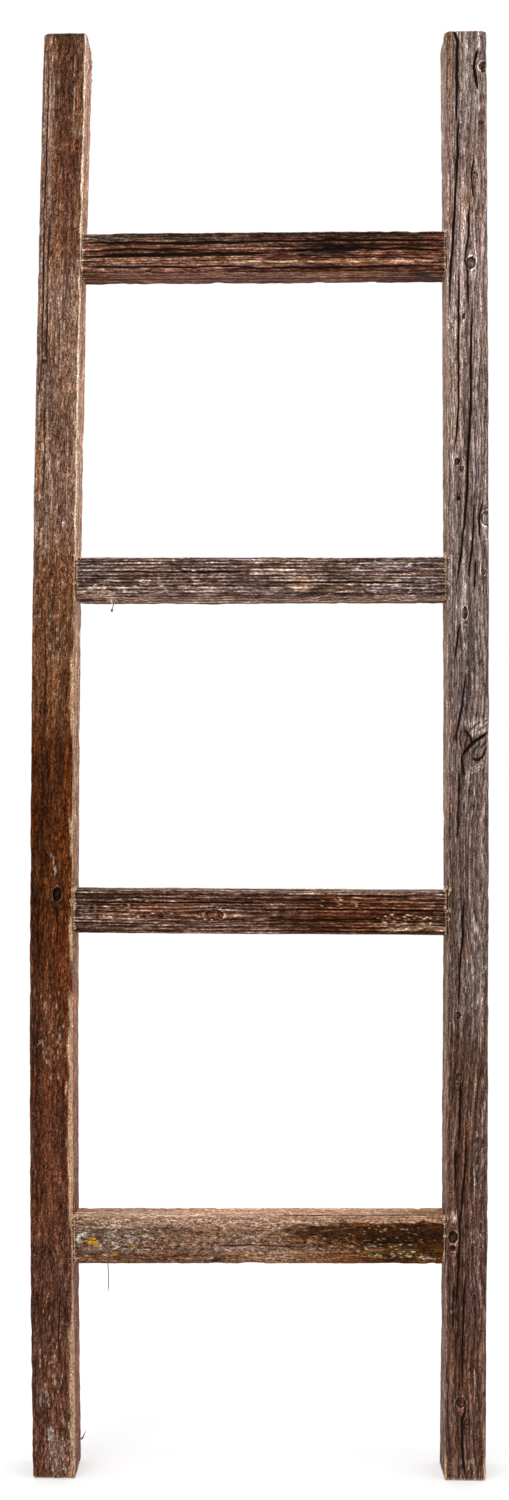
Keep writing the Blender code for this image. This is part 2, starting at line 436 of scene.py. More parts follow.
def patch_mask(surface, side, across, along, wide, tall, rough, seed):
    """A ragged oval's share at each point."""
    u, v, on = face_place(surface, side)
    where = np.column_stack([u, u * 0, v])
    grain = board_grain(where, seed)
    away = np.hypot((u - across * MM) / (wide * MM), (v - along * MM) / (tall * MM)) + rough * grain
    return smooth(1.2, 0.75, away) * on


def flake_mask(surface, side, across, along, wide, tall, cover, size, seed):
    """Scattered ragged flakes inside an oval, which they cover by about this share."""
    u, v, on = face_place(surface, side)
    inside = smooth(1.15, 0.6, np.hypot((u - across * MM) / (wide * MM), (v - along * MM) / (tall * MM)))
    where = np.column_stack([u, u * 0, v])
    lumps = noise(where, (size * MM, 1, 1.8 * size * MM), seed)
    lumps = lumps + 0.45 * noise(where, (0.5 * size * MM, 1, size * MM), seed + 1)
    edge = 0.9 - 1.5 * cover + 0.9 * (1.0 - inside)
    return smooth(edge - 0.07, edge + 0.12, lumps) * on * (inside > 0)


def board_grain(where, seed):
    """Noise drawn out along a board."""
    coarse = noise(where, (3.2 * MM, 1, 16 * MM), seed)
    fine = noise(where, (1.2 * MM, 1, 7 * MM), seed + 1)
    return 0.7 * coarse + 0.5 * fine


def growth(board, surface):
    """How far out from the pith each point lies, counted in rings, with the uneven growth of years."""
    where = np.column_stack([surface["grain_across"], surface["grain_depth"], surface["along"]])
    pith = board["pith"]
    x = surface["grain_across"] - pith[0] * MM - board["slope"] * surface["along"]
    y = surface["grain_depth"] - pith[1] * MM
    wander = board["wander"] * MM * layered(where, (40 * MM, 40 * MM, 170 * MM), board["seed"] + 1, 3)
    out = (np.hypot(x, y) + wander) / (board["pitch"] * MM)
    years = np.column_stack([out, out * 0, out * 0])
    return out + board["uneven"] * noise(years, (1.7, 1, 1), board["seed"] + 2)


def weather(board, points, face):
    """Works out a board's relief and colours, and returns its points as they lie on the board."""
    hole = hole_circles(board, points, face)
    radius = arris_radius(board, points)
    placed, facing = rounded(board, points, radius)
    across, depth, along = points.T
    surface = {"across": across, "depth": depth, "along": along, "facing": facing, "seed": board["seed"]}
    surface["grain_across"] = across.copy()
    surface["grain_depth"] = depth.copy()
    surface["height"] = np.zeros(len(points))
    surface["tone"] = np.zeros(len(points))
    surface["crack"] = np.full(len(points), NO_CRACK)
    surface["knot"] = np.full(len(points), NO_KNOT)
    surface["cover"] = []
    bend_round_knots(surface, board["knots"])
    where = np.column_stack([surface["grain_across"], surface["grain_depth"], along])
    seed = board["seed"]
    end = np.abs(facing[:, 2])
    ring = growth(board, surface)
    surface["ring"] = ring
    wave = (0.5 + 0.5 * np.sin(2 * np.pi * ring)) ** board["sharp"]
    broken = smooth(-0.6, 0.5, noise(where, (4 * MM, 4 * MM, 34 * MM), seed + 3))
    wave = wave * (0.55 + 0.45 * broken)
    drawn = board["drawn"] * MM
    fibre = noise(where, (0.9 * MM, 0.9 * MM, 16 * drawn), seed + 4)
    strand = noise(where, (2.1 * MM, 2.1 * MM, 42 * drawn), seed + 5)
    fleck = noise(where, (1.5 * MM, 1.5 * MM, 6 * drawn), seed + 12)
    dash = noise(where, (1.25 * MM, 1.25 * MM, 11 * drawn), seed + 14)
    broad = layered(where, (14 * MM, 14 * MM, 120 * MM), seed + 6, 3)
    side_grain = 1.0 - end
    surface["height"] += board["relief"] * MM * (wave - 1.0) * (side_grain + 0.25 * end)
    surface["height"] += board["fuzz"] * MM * (0.5 * fibre + 0.5 * strand - 0.5) * side_grain
    waves = layered(where, (22 * MM, 22 * MM, 150 * MM), seed + 9, 2)
    surface["height"] += 0.35 * MM * (waves - 0.6) * side_grain
    dents = noise(where, (7 * MM, 7 * MM, 9 * MM), seed + 18)
    surface["height"] += 0.22 * MM * (dents - 0.5) * side_grain
    streaks = 0.35 * fibre + 0.55 * strand + 0.55 * fleck + 0.65 * dash
    surface["tone"] += board["contrast"] * (wave - 0.45) + board["mottle"] * streaks
    surface["tone"] += board["blotch"] * broad
    colours = board_colours(board, surface)
    for knot in board["knots"]:
        grow_knot(surface, *knot)
    for line in board["lines"]:
        draw_line(surface, *line)
    for crack in board["cracks"]:
        cut_crack(surface, *crack)
    tone = np.clip(surface["tone"], -2.2, 1.9)
    contrast = np.array(board["spread"])[None, :] ** tone[:, None]
    contrast = contrast / contrast.mean(axis=0)
    hue = noise(where, (3.4 * MM, 3.4 * MM, 46 * MM), seed + 16)
    hue = hue + 0.6 * noise(where, (9 * MM, 9 * MM, 90 * MM), seed + 17)
    colours = colours * contrast * (1.0 + board["hue"] * hue[:, None] * np.array([[0.55, 0.0, -1.0]]))
    for near, share, shade in surface["cover"]:
        colours[near] = colours[near] * (1.0 - share[:, None]) + shade * share[:, None]
    for k, (side, u, v, wide, tall, rough, strength, colour) in enumerate(board["patches"]):
        share = strength * patch_mask(surface, side, u, v, wide, tall, rough, seed + 40 + k)
        lit = np.array(colour)[None, :] * contrast**0.65
        colours = colours * (1.0 - share[:, None]) + lit * share[:, None]
    for k, (side, u, v, wide, tall, cover, size, colour) in enumerate(board["flakes"]):
        share = flake_mask(surface, side, u, v, wide, tall, cover, size, seed + 140 + 3 * k)
        surface["height"] += 0.25 * MM * share
        lit = np.array(colour)[None, :] * (1.0 + 0.3 * fleck + 0.2 * fibre)[:, None]
        colours = colours * (1.0 - 0.9 * share[:, None]) + lit * 0.9 * share[:, None]
    colours = wear_and_highlight_edges(board, surface, colours)
    colours = fresh_ends(board, surface, colours)
    colours = end_grain(board, surface, colours, ring)
    surface["height"] = np.where(hole < 0.97 * HOLE_RADIUS, -HOLE_DEPTH, surface["height"])
    stain = smooth(2.1 * HOLE_RADIUS, HOLE_RADIUS, near_screws(board, points, face))
    colours = mix(colours, (0.035, 0.022, 0.016), 0.75 * stain) * LIT
    placed = placed + facing * surface["height"][:, None]
    return placed, colours, surface


def near_screws(board, points, face):
    """How far each point of the screwed side lies from the nearest screw."""
    away = np.full(len(points), 1.0)
    for depth, along in board["screws"]:
        gap = np.hypot(points[:, 1] - depth, points[:, 2] - along)
        away = np.where(face == board["screw_side"], np.minimum(away, gap), away)
    return away


def board_colours(board, surface):
    """Each point's own colour before grain and stains, from the sides it faces."""
    along, facing = surface["along"], surface["facing"]
    shares = {
        FRONT: np.clip(-facing[:, 1], 0, 1) ** 2,
        BACK: np.clip(facing[:, 1], 0, 1) ** 2,
        RIGHT: np.clip(facing[:, 0], 0, 1) ** 2,
        LEFT: np.clip(-facing[:, 0], 0, 1) ** 2,
    }
    total = sum(shares.values()) + 1e-6
    colours = np.zeros((len(along), 3))
    for side, share in shares.items():
        stops = board["colours"].get(side, board["colours"][FRONT])
        colours += along_stops(along, stops) * (share / total)[:, None]
    return colours


def wear_and_highlight_edges(board, surface, colours):
    """Pale wood where the long edges are rubbed or split away; the left rail's list also paints a cream highlight
    along its upper inner front arris.
    """
    across, depth, along = surface["across"], surface["depth"], surface["along"]
    width, thick, _ = board["size"]
    line = np.column_stack([across, depth, along])
    for (side, facing), low, high, wide, strength, colour in board["worn"]:
        away = (width / 2 - across * side) + (thick / 2 - depth * facing)
        ragged = 1.0 + 0.55 * noise(line, (3 * MM, 3 * MM, 24 * MM), board["seed"] + 21)
        ragged += 0.35 * noise(line, (1.5 * MM, 1.5 * MM, 8 * MM), board["seed"] + 22)
        share = smooth(1.15, 0.7, away / (wide * MM * np.maximum(ragged, 0.05)))
        share *= smooth(low - 12, low + 6, along / MM) * smooth(high + 12, high - 6, along / MM)
        fibres = 0.16 * noise(line, (1.1 * MM, 1.1 * MM, 18 * MM), board["seed"] + 23)
        lit = np.array(colour)[None, :] * (1.0 + 2.0 * fibres)[:, None]
        share = (share * strength)[:, None]
        colours = colours * (1.0 - share) + lit * share
        surface["height"] -= 0.3 * MM * share[:, 0]
    return colours


def fresh_ends(board, surface, colours):
    """The splintered, unweathered rim where a rung was sawn to length."""
    where = np.column_stack([surface["across"], surface["depth"], surface["along"]])
    away = np.minimum(surface["along"], board["size"][2] - surface["along"])
    ragged = 1.0 + 0.7 * noise(where, (2.6 * MM, 2.6 * MM, 1), board["seed"] + 27)
    share = 0.9 * smooth(1.1, 0.6, away / (board["fresh"] * MM * np.maximum(ragged, 0.1)))
    return mix(colours, FRESH, share)


def end_grain(board, surface, colours, ring):
    """Ring lines and small checks on a board's sawn ends."""
    end = smooth(0.55, 0.9, np.abs(surface["facing"][:, 2]))
    lines = 0.62 + 0.38 * np.sin(2 * np.pi * ring)
    where = np.column_stack([surface["across"], surface["depth"], surface["along"] * 0])
    blotch = 1.0 + 0.35 * layered(where, (12 * MM, 12 * MM, 1), board["seed"] + 25)
    shade = np.array(board["end_colour"])[None, :] * (lines * blotch)[:, None]
    turn = np.arctan2(surface["depth"] - board["pith"][1] * MM, surface["across"] - board["pith"][0] * MM)
    rays = np.column_stack([turn, turn * 0, turn * 0])
    check = smooth(0.5, 0.85, noise(rays, (0.035, 1, 1), board["seed"] + 26)) * end
    surface["height"] -= 0.5 * MM * check
    # The checks join the cracks, whose core the material paints near-black as shade
    surface["crack"] = np.maximum(surface["crack"], 1.6 * check - 1.2)
    return colours * (1.0 - end[:, None]) + shade * end[:, None]


def make_mesh(name, placed, faces, mirrored=False):
    """A smooth mesh from arrays of points and of faces with their maps."""
    order = slice(None, None, -1) if mirrored else slice(None)
    corners = np.concatenate([indices[:, order].ravel() for indices, _ in faces])
    uv = np.concatenate([places[:, order].reshape(-1, 2) for _, places in faces])
    sizes = np.concatenate([np.full(len(indices), indices.shape[1]) for indices, _ in faces])
    mesh = bpy.data.meshes.new(name)
    mesh.vertices.add(len(placed))
    mesh.vertices.foreach_set("co", placed.astype(np.float32).ravel())
    mesh.loops.add(len(corners))
    mesh.loops.foreach_set("vertex_index", corners.astype(np.int32))
    mesh.polygons.add(len(sizes))
    mesh.polygons.foreach_set("loop_start", np.concatenate([[0], np.cumsum(sizes)[:-1]]).astype(np.int32))
    mesh.polygons.foreach_set("use_smooth", np.ones(len(sizes), bool))
    mesh.update(calc_edges=True)
    layer = mesh.uv_layers.new(name="OFBake")
    layer.data.foreach_set("uv", uv.astype(np.float32).ravel())
    return mesh


def set_attribute(mesh, name, kind, key, values):
    """Stores a value for each point of a mesh, which its material reads."""
    attribute = mesh.attributes.new(name, kind, "POINT")
    attribute.data.foreach_set(key, np.ascontiguousarray(values, np.float32).ravel())


def finished_object(name, mesh, material):
    """An object in the scene, from its mesh and its material."""
    mesh.materials.append(material)
    made = bpy.data.objects.new(name, mesh)
    bpy.context.scene.collection.objects.link(made)
    return made


# Materials

class Nodes:
    """A material's nodes, added and joined one call at a time."""

    def __init__(self, name):
        self.material = bpy.data.materials.new(name)
        self.material.use_nodes = True
        self.tree = self.material.node_tree
        self.shader = self.tree.nodes["Principled BSDF"]

    def add(self, kind, settings=(), **inputs):
        """A new node, with its settings and its inputs, whose names have _ for a space."""
        node = self.tree.nodes.new(kind)
        for key, value in dict(settings).items():
            setattr(node, key, value)
        for key, value in inputs.items():
            self.put(node.inputs[key.replace("_", " ")], value)
        return node

    def put(self, socket, value):
        """Joins a socket to an input, or sets the input to a value."""
        if isinstance(value, bpy.types.NodeSocket):
            self.tree.links.new(value, socket)
        else:
            socket.default_value = value

    def math(self, operation, first, second):
        """The result of a sum on two values."""
        node = self.add("ShaderNodeMath", {"operation": operation})
        self.put(node.inputs[0], first)
        self.put(node.inputs[1], second)
        return node.outputs[0]

    def ranged(self, value, low, high, to_low, to_high):
        """A value's place in one range, carried over to another and kept inside it."""
        node = self.add("ShaderNodeMapRange", Value=value, From_Min=low, From_Max=high, To_Min=to_low,
                        To_Max=to_high)
        return node.outputs["Result"]

    def away(self, value, middle):
        """How far a value is from a middle one."""
        return self.math("ABSOLUTE", self.math("SUBTRACT", value, middle), 0.0)

    def scaled(self, vector, scale):
        """A place stretched along each axis."""
        node = self.add("ShaderNodeVectorMath", {"operation": "MULTIPLY"})
        self.put(node.inputs[0], vector)
        self.put(node.inputs[1], scale)
        return node.outputs["Vector"]

    def noise(self, vector, detail=2.0, roughness=0.55):
        """Noise whose blotches are one unit across."""
        node = self.add("ShaderNodeTexNoise", Vector=vector, Scale=1.0, Detail=detail, Roughness=roughness)
        return node.outputs["Fac"]

    def mixed(self, share, first, second, blend="MIX"):
        """Two colours blended."""
        node = self.add("ShaderNodeMix", {"data_type": "RGBA", "blend_type": blend})
        self.put(node.inputs["Factor"], share)
        self.put(node.inputs[6], first)
        self.put(node.inputs[7], second)
        return node.outputs[2]


def wood_material(name, look):
    """Weathered wood: the board's own tint, crossed by ring lines, fibres, flecks and pores, with crisp
    cracks and knots drawn from how far each point lies from one; a crack's core is painted near-black
    as the shade inside it."""
    nodes = Nodes(name)
    tint = nodes.add("ShaderNodeAttribute", {"attribute_name": "tint"}).outputs["Color"]
    crack = nodes.add("ShaderNodeAttribute", {"attribute_name": "crack"}).outputs["Fac"]
    knot = nodes.add("ShaderNodeAttribute", {"attribute_name": "knot"}).outputs["Fac"]
    ring = nodes.add("ShaderNodeAttribute", {"attribute_name": "ring"}).outputs["Fac"]
    grain = nodes.add("ShaderNodeAttribute", {"attribute_name": "grain"}).outputs["Vector"]
    fibres = nodes.noise(nodes.scaled(grain, (1 / 0.45, 1 / 0.45, 1 / look["fibre"])), 3.0, 0.6)
    dashes = nodes.noise(nodes.scaled(grain, (1 / 1.3, 1 / 1.3, 1 / look["dash"])), 2.0)
    specks = nodes.noise(nodes.scaled(grain, (1 / 1.0, 1 / 1.0, 1 / look["speck"])), 2.0)
    shade = nodes.math("MULTIPLY", nodes.ranged(fibres, 0.30, 0.70, 0.55, 1.45),
                       nodes.ranged(dashes, 0.30, 0.70, 0.30, 1.72))
    shade = nodes.math("MULTIPLY", shade, nodes.ranged(specks, 0.30, 0.58, 0.35, 1.15))
    shade = nodes.math("ADD", shade, nodes.ranged(specks, 0.60, 0.70, 0.0, look["spark"]))
    years = nodes.math("ADD", nodes.math("MULTIPLY", ring, 4.0 * math.pi),
                       nodes.math("MULTIPLY", dashes, 5.0))
    wave = nodes.math("SINE", years, 0.0)
    shade = nodes.math("MULTIPLY", shade, nodes.ranged(wave, 0.35, 0.95, 1.0, 1.0 - look["line"]))
    shade = nodes.math("MULTIPLY", shade, nodes.ranged(wave, -0.98, -0.5, 1.0 + look["line"], 1.0))
    ragged = nodes.math("ADD", knot, nodes.ranged(specks, 0.2, 0.8, -0.10, 0.10))
    outline = nodes.ranged(nodes.away(ragged, 1.04), 0.07, 0.17, 1.0, 0.0)
    collar = nodes.ranged(nodes.away(ragged, 1.36), 0.05, 0.22, 1.0, 0.0)
    shade = nodes.math("MULTIPLY", shade, nodes.ranged(collar, 0.0, 1.0, 1.0, 1.6))
    shade = nodes.math("MULTIPLY", shade, nodes.ranged(outline, 0.0, 1.0, 1.0, 0.16))
    green, blue = nodes.math("POWER", shade, 1.16), nodes.math("POWER", shade, 1.30)
    grey = nodes.add("ShaderNodeCombineColor", Red=shade, Green=green, Blue=blue).outputs["Color"]
    colour = nodes.mixed(1.0, tint, grey, "MULTIPLY")
    # Cracks: the core is painted near-black as the shade inside the gap, with a darker rim just outside it.
    torn = nodes.math("ADD", crack, nodes.ranged(specks, 0.25, 0.75, -0.40, 0.40))
    margin = nodes.mixed(1.0, colour, (0.50, 0.34, 0.27, 1), "MULTIPLY")
    colour = nodes.mixed(nodes.ranged(torn, -0.85, -0.15, 0.0, 1.0), colour, margin)
    colour = nodes.mixed(nodes.ranged(torn, -0.16, 0.10, 0.0, 1.0), colour, (*NEAR_BLACK, 1))
    nodes.put(nodes.shader.inputs["Base Color"], colour)
    nodes.put(nodes.shader.inputs["Roughness"], nodes.ranged(fibres, 0.3, 0.7, 0.95, 0.80))
    nodes.shader.inputs["Specular IOR Level"].default_value = 0.06
    relief = nodes.math("ADD", fibres, nodes.math("MULTIPLY", specks, 0.5))
    bump = nodes.add("ShaderNodeBump", Strength=0.7, Distance=0.5 * MM, Height=relief)
    nodes.put(nodes.shader.inputs["Normal"], bump.outputs["Normal"])
    return nodes.material


def steel_material(name):
    """Zinced screw steel gone dull, with rust creeping over it."""
    nodes = Nodes(name)
    place = nodes.add("ShaderNodeTexCoord").outputs["Object"]
    blotch = nodes.noise(nodes.scaled(place, (420.0, 420.0, 420.0)), 4.0, 0.65)
    fine = nodes.noise(nodes.scaled(place, (2600.0, 2600.0, 2600.0)), 3.0, 0.6)
    rust = nodes.ranged(nodes.math("ADD", blotch, nodes.math("MULTIPLY", fine, 0.25)), 0.50, 0.72, 0.0, 1.0)
    steel = nodes.mixed(fine, (0.13, 0.125, 0.12, 1), (0.27, 0.26, 0.245, 1))
    brown = nodes.mixed(fine, (0.045, 0.018, 0.008, 1), (0.21, 0.075, 0.026, 1))
    nodes.put(nodes.shader.inputs["Base Color"], nodes.mixed(rust, steel, brown))
    nodes.put(nodes.shader.inputs["Metallic"], nodes.ranged(rust, 0.0, 1.0, 0.9, 0.05))
    nodes.put(nodes.shader.inputs["Roughness"], nodes.ranged(rust, 0.0, 1.0, 0.42, 0.9))
    bump = nodes.add("ShaderNodeBump", Strength=0.5, Distance=0.12 * MM, Height=nodes.math("ADD", fine, rust))
    nodes.put(nodes.shader.inputs["Normal"], bump.outputs["Normal"])
    return nodes.material


def fibre_material(name, dark, pale):
    """Torn wood fibre: pale and fresh, with darker lines."""
    nodes = Nodes(name)
    place = nodes.add("ShaderNodeTexCoord").outputs["Object"]
    lines = nodes.noise(nodes.scaled(place, (900.0, 900.0, 900.0)), 3.0, 0.6)
    share = nodes.ranged(lines, 0.32, 0.68, 0.0, 1.0)
    nodes.put(nodes.shader.inputs["Base Color"], nodes.mixed(share, (*dark, 1), (*pale, 1)))
    nodes.put(nodes.shader.inputs["Roughness"], nodes.ranged(lines, 0.3, 0.7, 0.75, 0.95))
    bump = nodes.add("ShaderNodeBump", Strength=0.4, Distance=0.15 * MM, Height=lines)
    nodes.put(nodes.shader.inputs["Normal"], bump.outputs["Normal"])
    return nodes.material


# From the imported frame

def corners_of(name):
    """A CAD node's points."""
    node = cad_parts[name]
    return np.array([node.matrix_world @ corner.co for corner in node.data.vertices])


def rail_spine(name):
    """How a rail's middle moves sideways with height, from its CAD solid."""
    points = corners_of(name)
    levels = np.unique(np.round(points[:, 2], 4))
    spans = [points[np.abs(points[:, 2] - level) < 0.1 * MM][:, 0] for level in levels]
    wide = np.array([span.max() - span.min() for span in spans])
    middle = np.array([(span.max() + span.min()) / 2 for span in spans])
    whole = wide > wide.max() - 1.5 * MM
    return np.polynomial.Polynomial.fit(levels[whole], middle[whole], 2), wide.max()


def rung_ends(name):
    """A rung's end planes x = start + slope * z, from its CAD solid, and its middle height at each end."""
    points = corners_of(name)
    ends = []
    for side in (-1, 1):
        outward = points[:, 0] * side
        outer = points[outward > outward.max() - 1.6 * MM]
        slope, start = np.polyfit(outer[:, 2], outer[:, 0], 1)
        ends.append((start, slope, (outer[:, 2].max() + outer[:, 2].min()) / 2))
    return ends


def screw_spots(names):
    """The screws of one rail as (depth from the rail's middle, height)."""
    return [(float(c[1]), float(c[2])) for c in (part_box(name)[0] / 2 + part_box(name)[1] / 2 for name in names)]


# The boards

def plain_board(name, size, seed):
    """What every board has, before its own marks."""
    return {
        "name": name, "size": size, "seed": seed, "columns": (0.62 * MM, 2.3 * MM), "row": 3.4 * MM,
        "row_zones": [], "screws": [], "screw_side": LEFT, "end_radius": 2.4 * MM, "chips": [],
        "knots": [], "cracks": [], "patches": [], "flakes": [], "lines": [], "worn": [],
        "pith": (-70, 40), "slope": 0.002, "wander": 2.4, "pitch": 2.6, "sharp": 1.4, "relief": 0.45,
        "fuzz": 0.4, "contrast": 0.9, "mottle": 1.0, "blotch": 0.55, "spread": (2.05, 2.25, 2.45),
        "hue": 0.22, "drawn": 1.0, "uneven": 0.55,
        "arris": {(-1, -1): 2.6 * MM, (1, -1): 2.6 * MM, (-1, 1): 2.8 * MM, (1, 1): 2.8 * MM},
        "end_colour": (0.20, 0.13, 0.09), "fresh": 0.01,
    }


def unseen_marks(board, sides, cracks, knots, holes=()):
    """Seeded cracks and knots for the sides the photo doesn't show."""
    chance = np.random.default_rng(board["seed"])
    length = board["size"][2] / MM
    for side in sides:
        half = (board["size"][0] if side in (FRONT, BACK) else board["size"][1]) / MM / 2 - 5
        for _ in range(cracks):
            middle, reach = chance.uniform(0.05, 0.95) * length, chance.uniform(0.02, 0.09) * length
            start, drift = chance.uniform(-half, half), chance.uniform(-3.5, 3.5)
            if any(abs(start) < 11 and abs(middle - hole) < reach + 12 for hole in holes):
                continue
            route = [(start, middle - reach), (start + drift / 2, middle), (start + drift, middle + reach)]
            board["cracks"].append((side, chance.uniform(0.9, 1.9), chance.uniform(1.2, 2.2), route))
        for _ in range(knots):
            across, along = chance.uniform(-half, half), chance.uniform(0.06, 0.94) * length
            if any(abs(along - hole) < 22 for hole in holes):
                continue
            size = chance.uniform(2.5, 7.0)
            kind = ("dark", "red", "pale")[int(chance.integers(3))]
            board["knots"].append((side, across, along, size, size * chance.uniform(1.0, 1.4), kind))


def left_rail(width, depth, height, screws):
    """The brown left rail, with its rubbed inner edge and a painted cream highlight along its upper part."""
    board = plain_board("left_rail", (width, depth, height), 11)
    board.update(
        screws=screws, screw_side=LEFT, pith=(-62, 30), pitch=2.3, contrast=0.45, relief=0.4,
        end_radius=3.2 * MM, drawn=0.38, mottle=1.5, blotch=0.8,
        row_zones=[(616 * MM, 12 * MM, 1.6 * MM), (1500 * MM, 26 * MM, 2.0 * MM),
                   (22 * MM, 24 * MM, 2.2 * MM)],
    )
    board["colours"] = {
        FRONT: [
            (0, .115, .044, .025), (110, .110, .042, .024), (200, .091, .035, .020),
            (400, .084, .026, .012), (470, .096, .029, .011), (560, .097, .027, .008),
            (600, .094, .025, .005), (770, .096, .025, .005), (810, .145, .057, .023),
            (960, .150, .062, .028), (1010, .215, .118, .076), (1270, .219, .120, .078),
            (1310, .178, .083, .047), (1524, .180, .084, .045),
        ],
        RIGHT: [(0, .24, .108, .074), (400, .28, .128, .086), (560, .37, .188, .114), (900, .46, .260, .165),
                (1524, .52, .290, .200)],
        LEFT: [(0, .12, .055, .034), (700, .10, .045, .026), (1524, .17, .085, .052)],
        BACK: [(0, .15, .072, .045), (800, .12, .055, .032), (1524, .19, .10, .065)],
    }
    board["worn"] = [
        # The first entry is rubbed pale wood with a painted cream highlight on it, along the upper inner front
        # arris
        ((1, -1), 968, 1524, 2.3, 1.0, (.98, .76, .58)), ((1, -1), 789, 863, 4.4, 0.9, TAN),
        ((1, -1), 663, 692, 4.0, 0.9, TAN), ((1, -1), 547, 589, 4.0, 0.9, TAN),
        ((1, -1), 415, 505, 5.0, 0.85, TAN), ((1, -1), 273, 415, 6.5, 0.85, TAN),
        ((1, -1), 5, 155, 7.5, 0.75, TAN), ((1, -1), 155, 273, 2.6, 0.7, TAN),
        ((1, -1), 860, 968, 1.8, 0.6, TAN), ((1, -1), 589, 789, 1.4, 0.6, TAN),
        ((-1, -1), 1000, 1524, 0.9, 0.4, ASH), ((-1, 1), 0, 1524, 1.6, 0.6, TAN),
        ((1, 1), 0, 1524, 2.4, 0.7, (.22, .085, .06)),
    ]
    board["chips"] = [
        ((1, 1), 1522, 16, 9), ((-1, -1), 1522, 9, 5), ((1, -1), 1523, 7, 3), ((1, -1), 826, 30, 1.6),
        ((1, -1), 677, 14, 1.8), ((1, -1), 568, 18, 1.6), ((1, -1), 463, 36, 1.8), ((1, -1), 330, 50, 2.4),
        ((-1, -1), 6, 8, 4), ((-1, 1), 300, 30, 2), ((-1, 1), 1100, 24, 2),
    ]
    board["knots"] = [
        (FRONT, 6, 616, 4.2, 6.0, "hole"), (FRONT, 15, 1404, 2.4, 3.4, "red"),
        (FRONT, -14, 1176, 2.0, 2.8, "dark"), (FRONT, 9, 958, 2.2, 3.0, "red"),
        (FRONT, -6, 330, 2.6, 3.4, "dark"),
    ]
    board["cracks"] = [
        (FRONT, 0.8, 1.0, [(-17, 1510), (-16, 1440), (-17.5, 1330), (-16.5, 1230), (-18, 1130)]),
        (FRONT, 0.7, 0.9, [(-11, 1330), (-12.5, 1250), (-11, 1170)]),
        (FRONT, 0.7, 1.0, [(-13.5, 1130), (-12, 1090), (-13, 1040)]),
        (FRONT, 0.8, 1.2, [(-9, 900), (-7, 860), (-8.5, 800)]),
        (FRONT, 0.9, 1.6, [(6, 604), (7, 585), (5, 560)]),
        (FRONT, 0.8, 1.2, [(-12, 620), (-14, 580), (-12.5, 540)]),
        (FRONT, 0.8, 1.2, [(8, 200), (6.5, 160), (7.5, 120)]),
        (RIGHT, 0.9, 1.6, [(-12, 1300), (-9, 1100), (-11, 900)]),
        (RIGHT, 0.8, 1.4, [(-16, 760), (-14, 600), (-17, 470)]),
        (RIGHT, 0.9, 1.5, [(-10, 400), (-12, 250), (-9, 90)]),
        (RIGHT, 1.8, 1.0, [(-24.5, 300), (-23.8, 284), (-24.8, 266), (-26.5, 250)]),
    ]
    board["lines"] = [
        (FRONT, 0.9, (.52, .37, .29), [(across, top), (across + 0.6, top - reach / 2),
                                       (across - 0.3, top - reach)])
        for across, top, reach in ((-20, 1510, 120), (-17.5, 1500, 90), (-14.5, 1480, 70), (-19, 1370, 110),
                                   (-12, 1400, 60), (-15, 1300, 90), (-7, 1250, 70), (11, 1500, 80),
                                   (9, 1360, 60), (13, 1290, 90), (3, 1220, 60), (-18, 1200, 90),
                                   (-10, 1130, 60), (12, 1110, 80), (-4, 1060, 50))
    ]
    board["lines"] += [
        (FRONT, 0.9, (.40, .26, .18), [(-9, 420), (4, 424), (17, 419)]),
        # A painted cream highlight on the inner face, beside the front arris
        (RIGHT, 1.4, CREAM_HIGHLIGHT, [(-24, 1500), (-22, 1200), (-24, 980)]),
        (FRONT, 0.7, (.36, .24, .17), [(-6, 660), (2, 656)]),
        (FRONT, 0.8, (.40, .28, .2), [(19, 88), (20, 60), (18, 12)]),
    ]
    board["patches"] = [
        (FRONT, 3, 1480, 8, 60, 0.8, 0.8, (.075, .026, .015)),
        (FRONT, 15, 1418, 4.5, 7, 0.5, 0.7, (.29, .19, .145)),
        (FRONT, -15, 1440, 5, 90, 0.8, 0.6, (.30, .195, .15)),
        (FRONT, 9, 1300, 6, 120, 0.8, 0.5, (.105, .036, .022)),
        (FRONT, -14, 1290, 7, 70, 0.8, 0.5, (.30, .19, .145)),
        (FRONT, 4, 1380, 9, 40, 0.8, 0.6, (.11, .034, .018)),
        (FRONT, 0, 1521, 30, 5, 0.3, 0.6, (.06, .04, .035)),
        (FRONT, 12, 1200, 7, 70, 0.8, 0.4, (.30, .19, .14)),
        (FRONT, 14, 1404, 5, 9, 0.5, 0.6, (.26, .09, .045)), (FRONT, 6, 612, 8, 18, 0.7, 0.6, NEAR_BLACK),
        (FRONT, 2, 24, 8, 30, 0.9, 0.5, (.28, .17, .125)), (FRONT, -10, 700, 6, 90, 0.8, 0.5, NEAR_BLACK),
        (FRONT, 8, 740, 5, 60, 0.8, 0.4, NEAR_BLACK), (FRONT, -6, 240, 9, 130, 0.8, 0.35, NEAR_BLACK),
        (FRONT, 19, 395, 3, 60, 0.6, 0.5, (.26, .09, .04)),
        (FRONT, -2, 340, 10, 90, 0.7, 0.4, (.20, .065, .03)),
        (FRONT, -16, 520, 5, 110, 0.8, 0.5, NEAR_BLACK),
        (FRONT, -10, 1330, 8, 60, 0.9, 0.4, (.10, .036, .02)),
        (FRONT, 8, 1130, 8, 90, 0.9, 0.3, (.12, .05, .03)),
    ]
    board["flakes"] = [
        (FRONT, 15, 1418, 4.5, 6, 0.35, 2.4, (.30, .21, .16)),
        (FRONT, 4, 646, 6, 12, 0.4, 1.8, (.38, .28, .20)),
        (FRONT, -10, 84, 7, 14, 0.42, 2.2, (.27, .20, .17)),
        (FRONT, -2, 46, 4.5, 9, 0.7, 2.2, (.40, .33, .29)),
        (FRONT, 0, 20, 5, 20, 0.45, 1.9, (.36, .25, .20)),
        (FRONT, 13, 26, 9, 34, 0.35, 2.0, (.38, .24, .17)),
        (FRONT, 0, 130, 18, 80, 0.22, 1.9, (.36, .24, .17)),
        (FRONT, 0, 480, 18, 60, 0.2, 1.8, (.34, .22, .14)),
        (FRONT, -8, 1020, 14, 80, 0.2, 1.9, (.34, .26, .21)),
        (FRONT, 4, 880, 14, 80, 0.16, 1.8, (.36, .24, .16)),
    ]
    unseen_marks(board, (LEFT, BACK), 16, 4, [along / MM for _, along in screws])
    return board


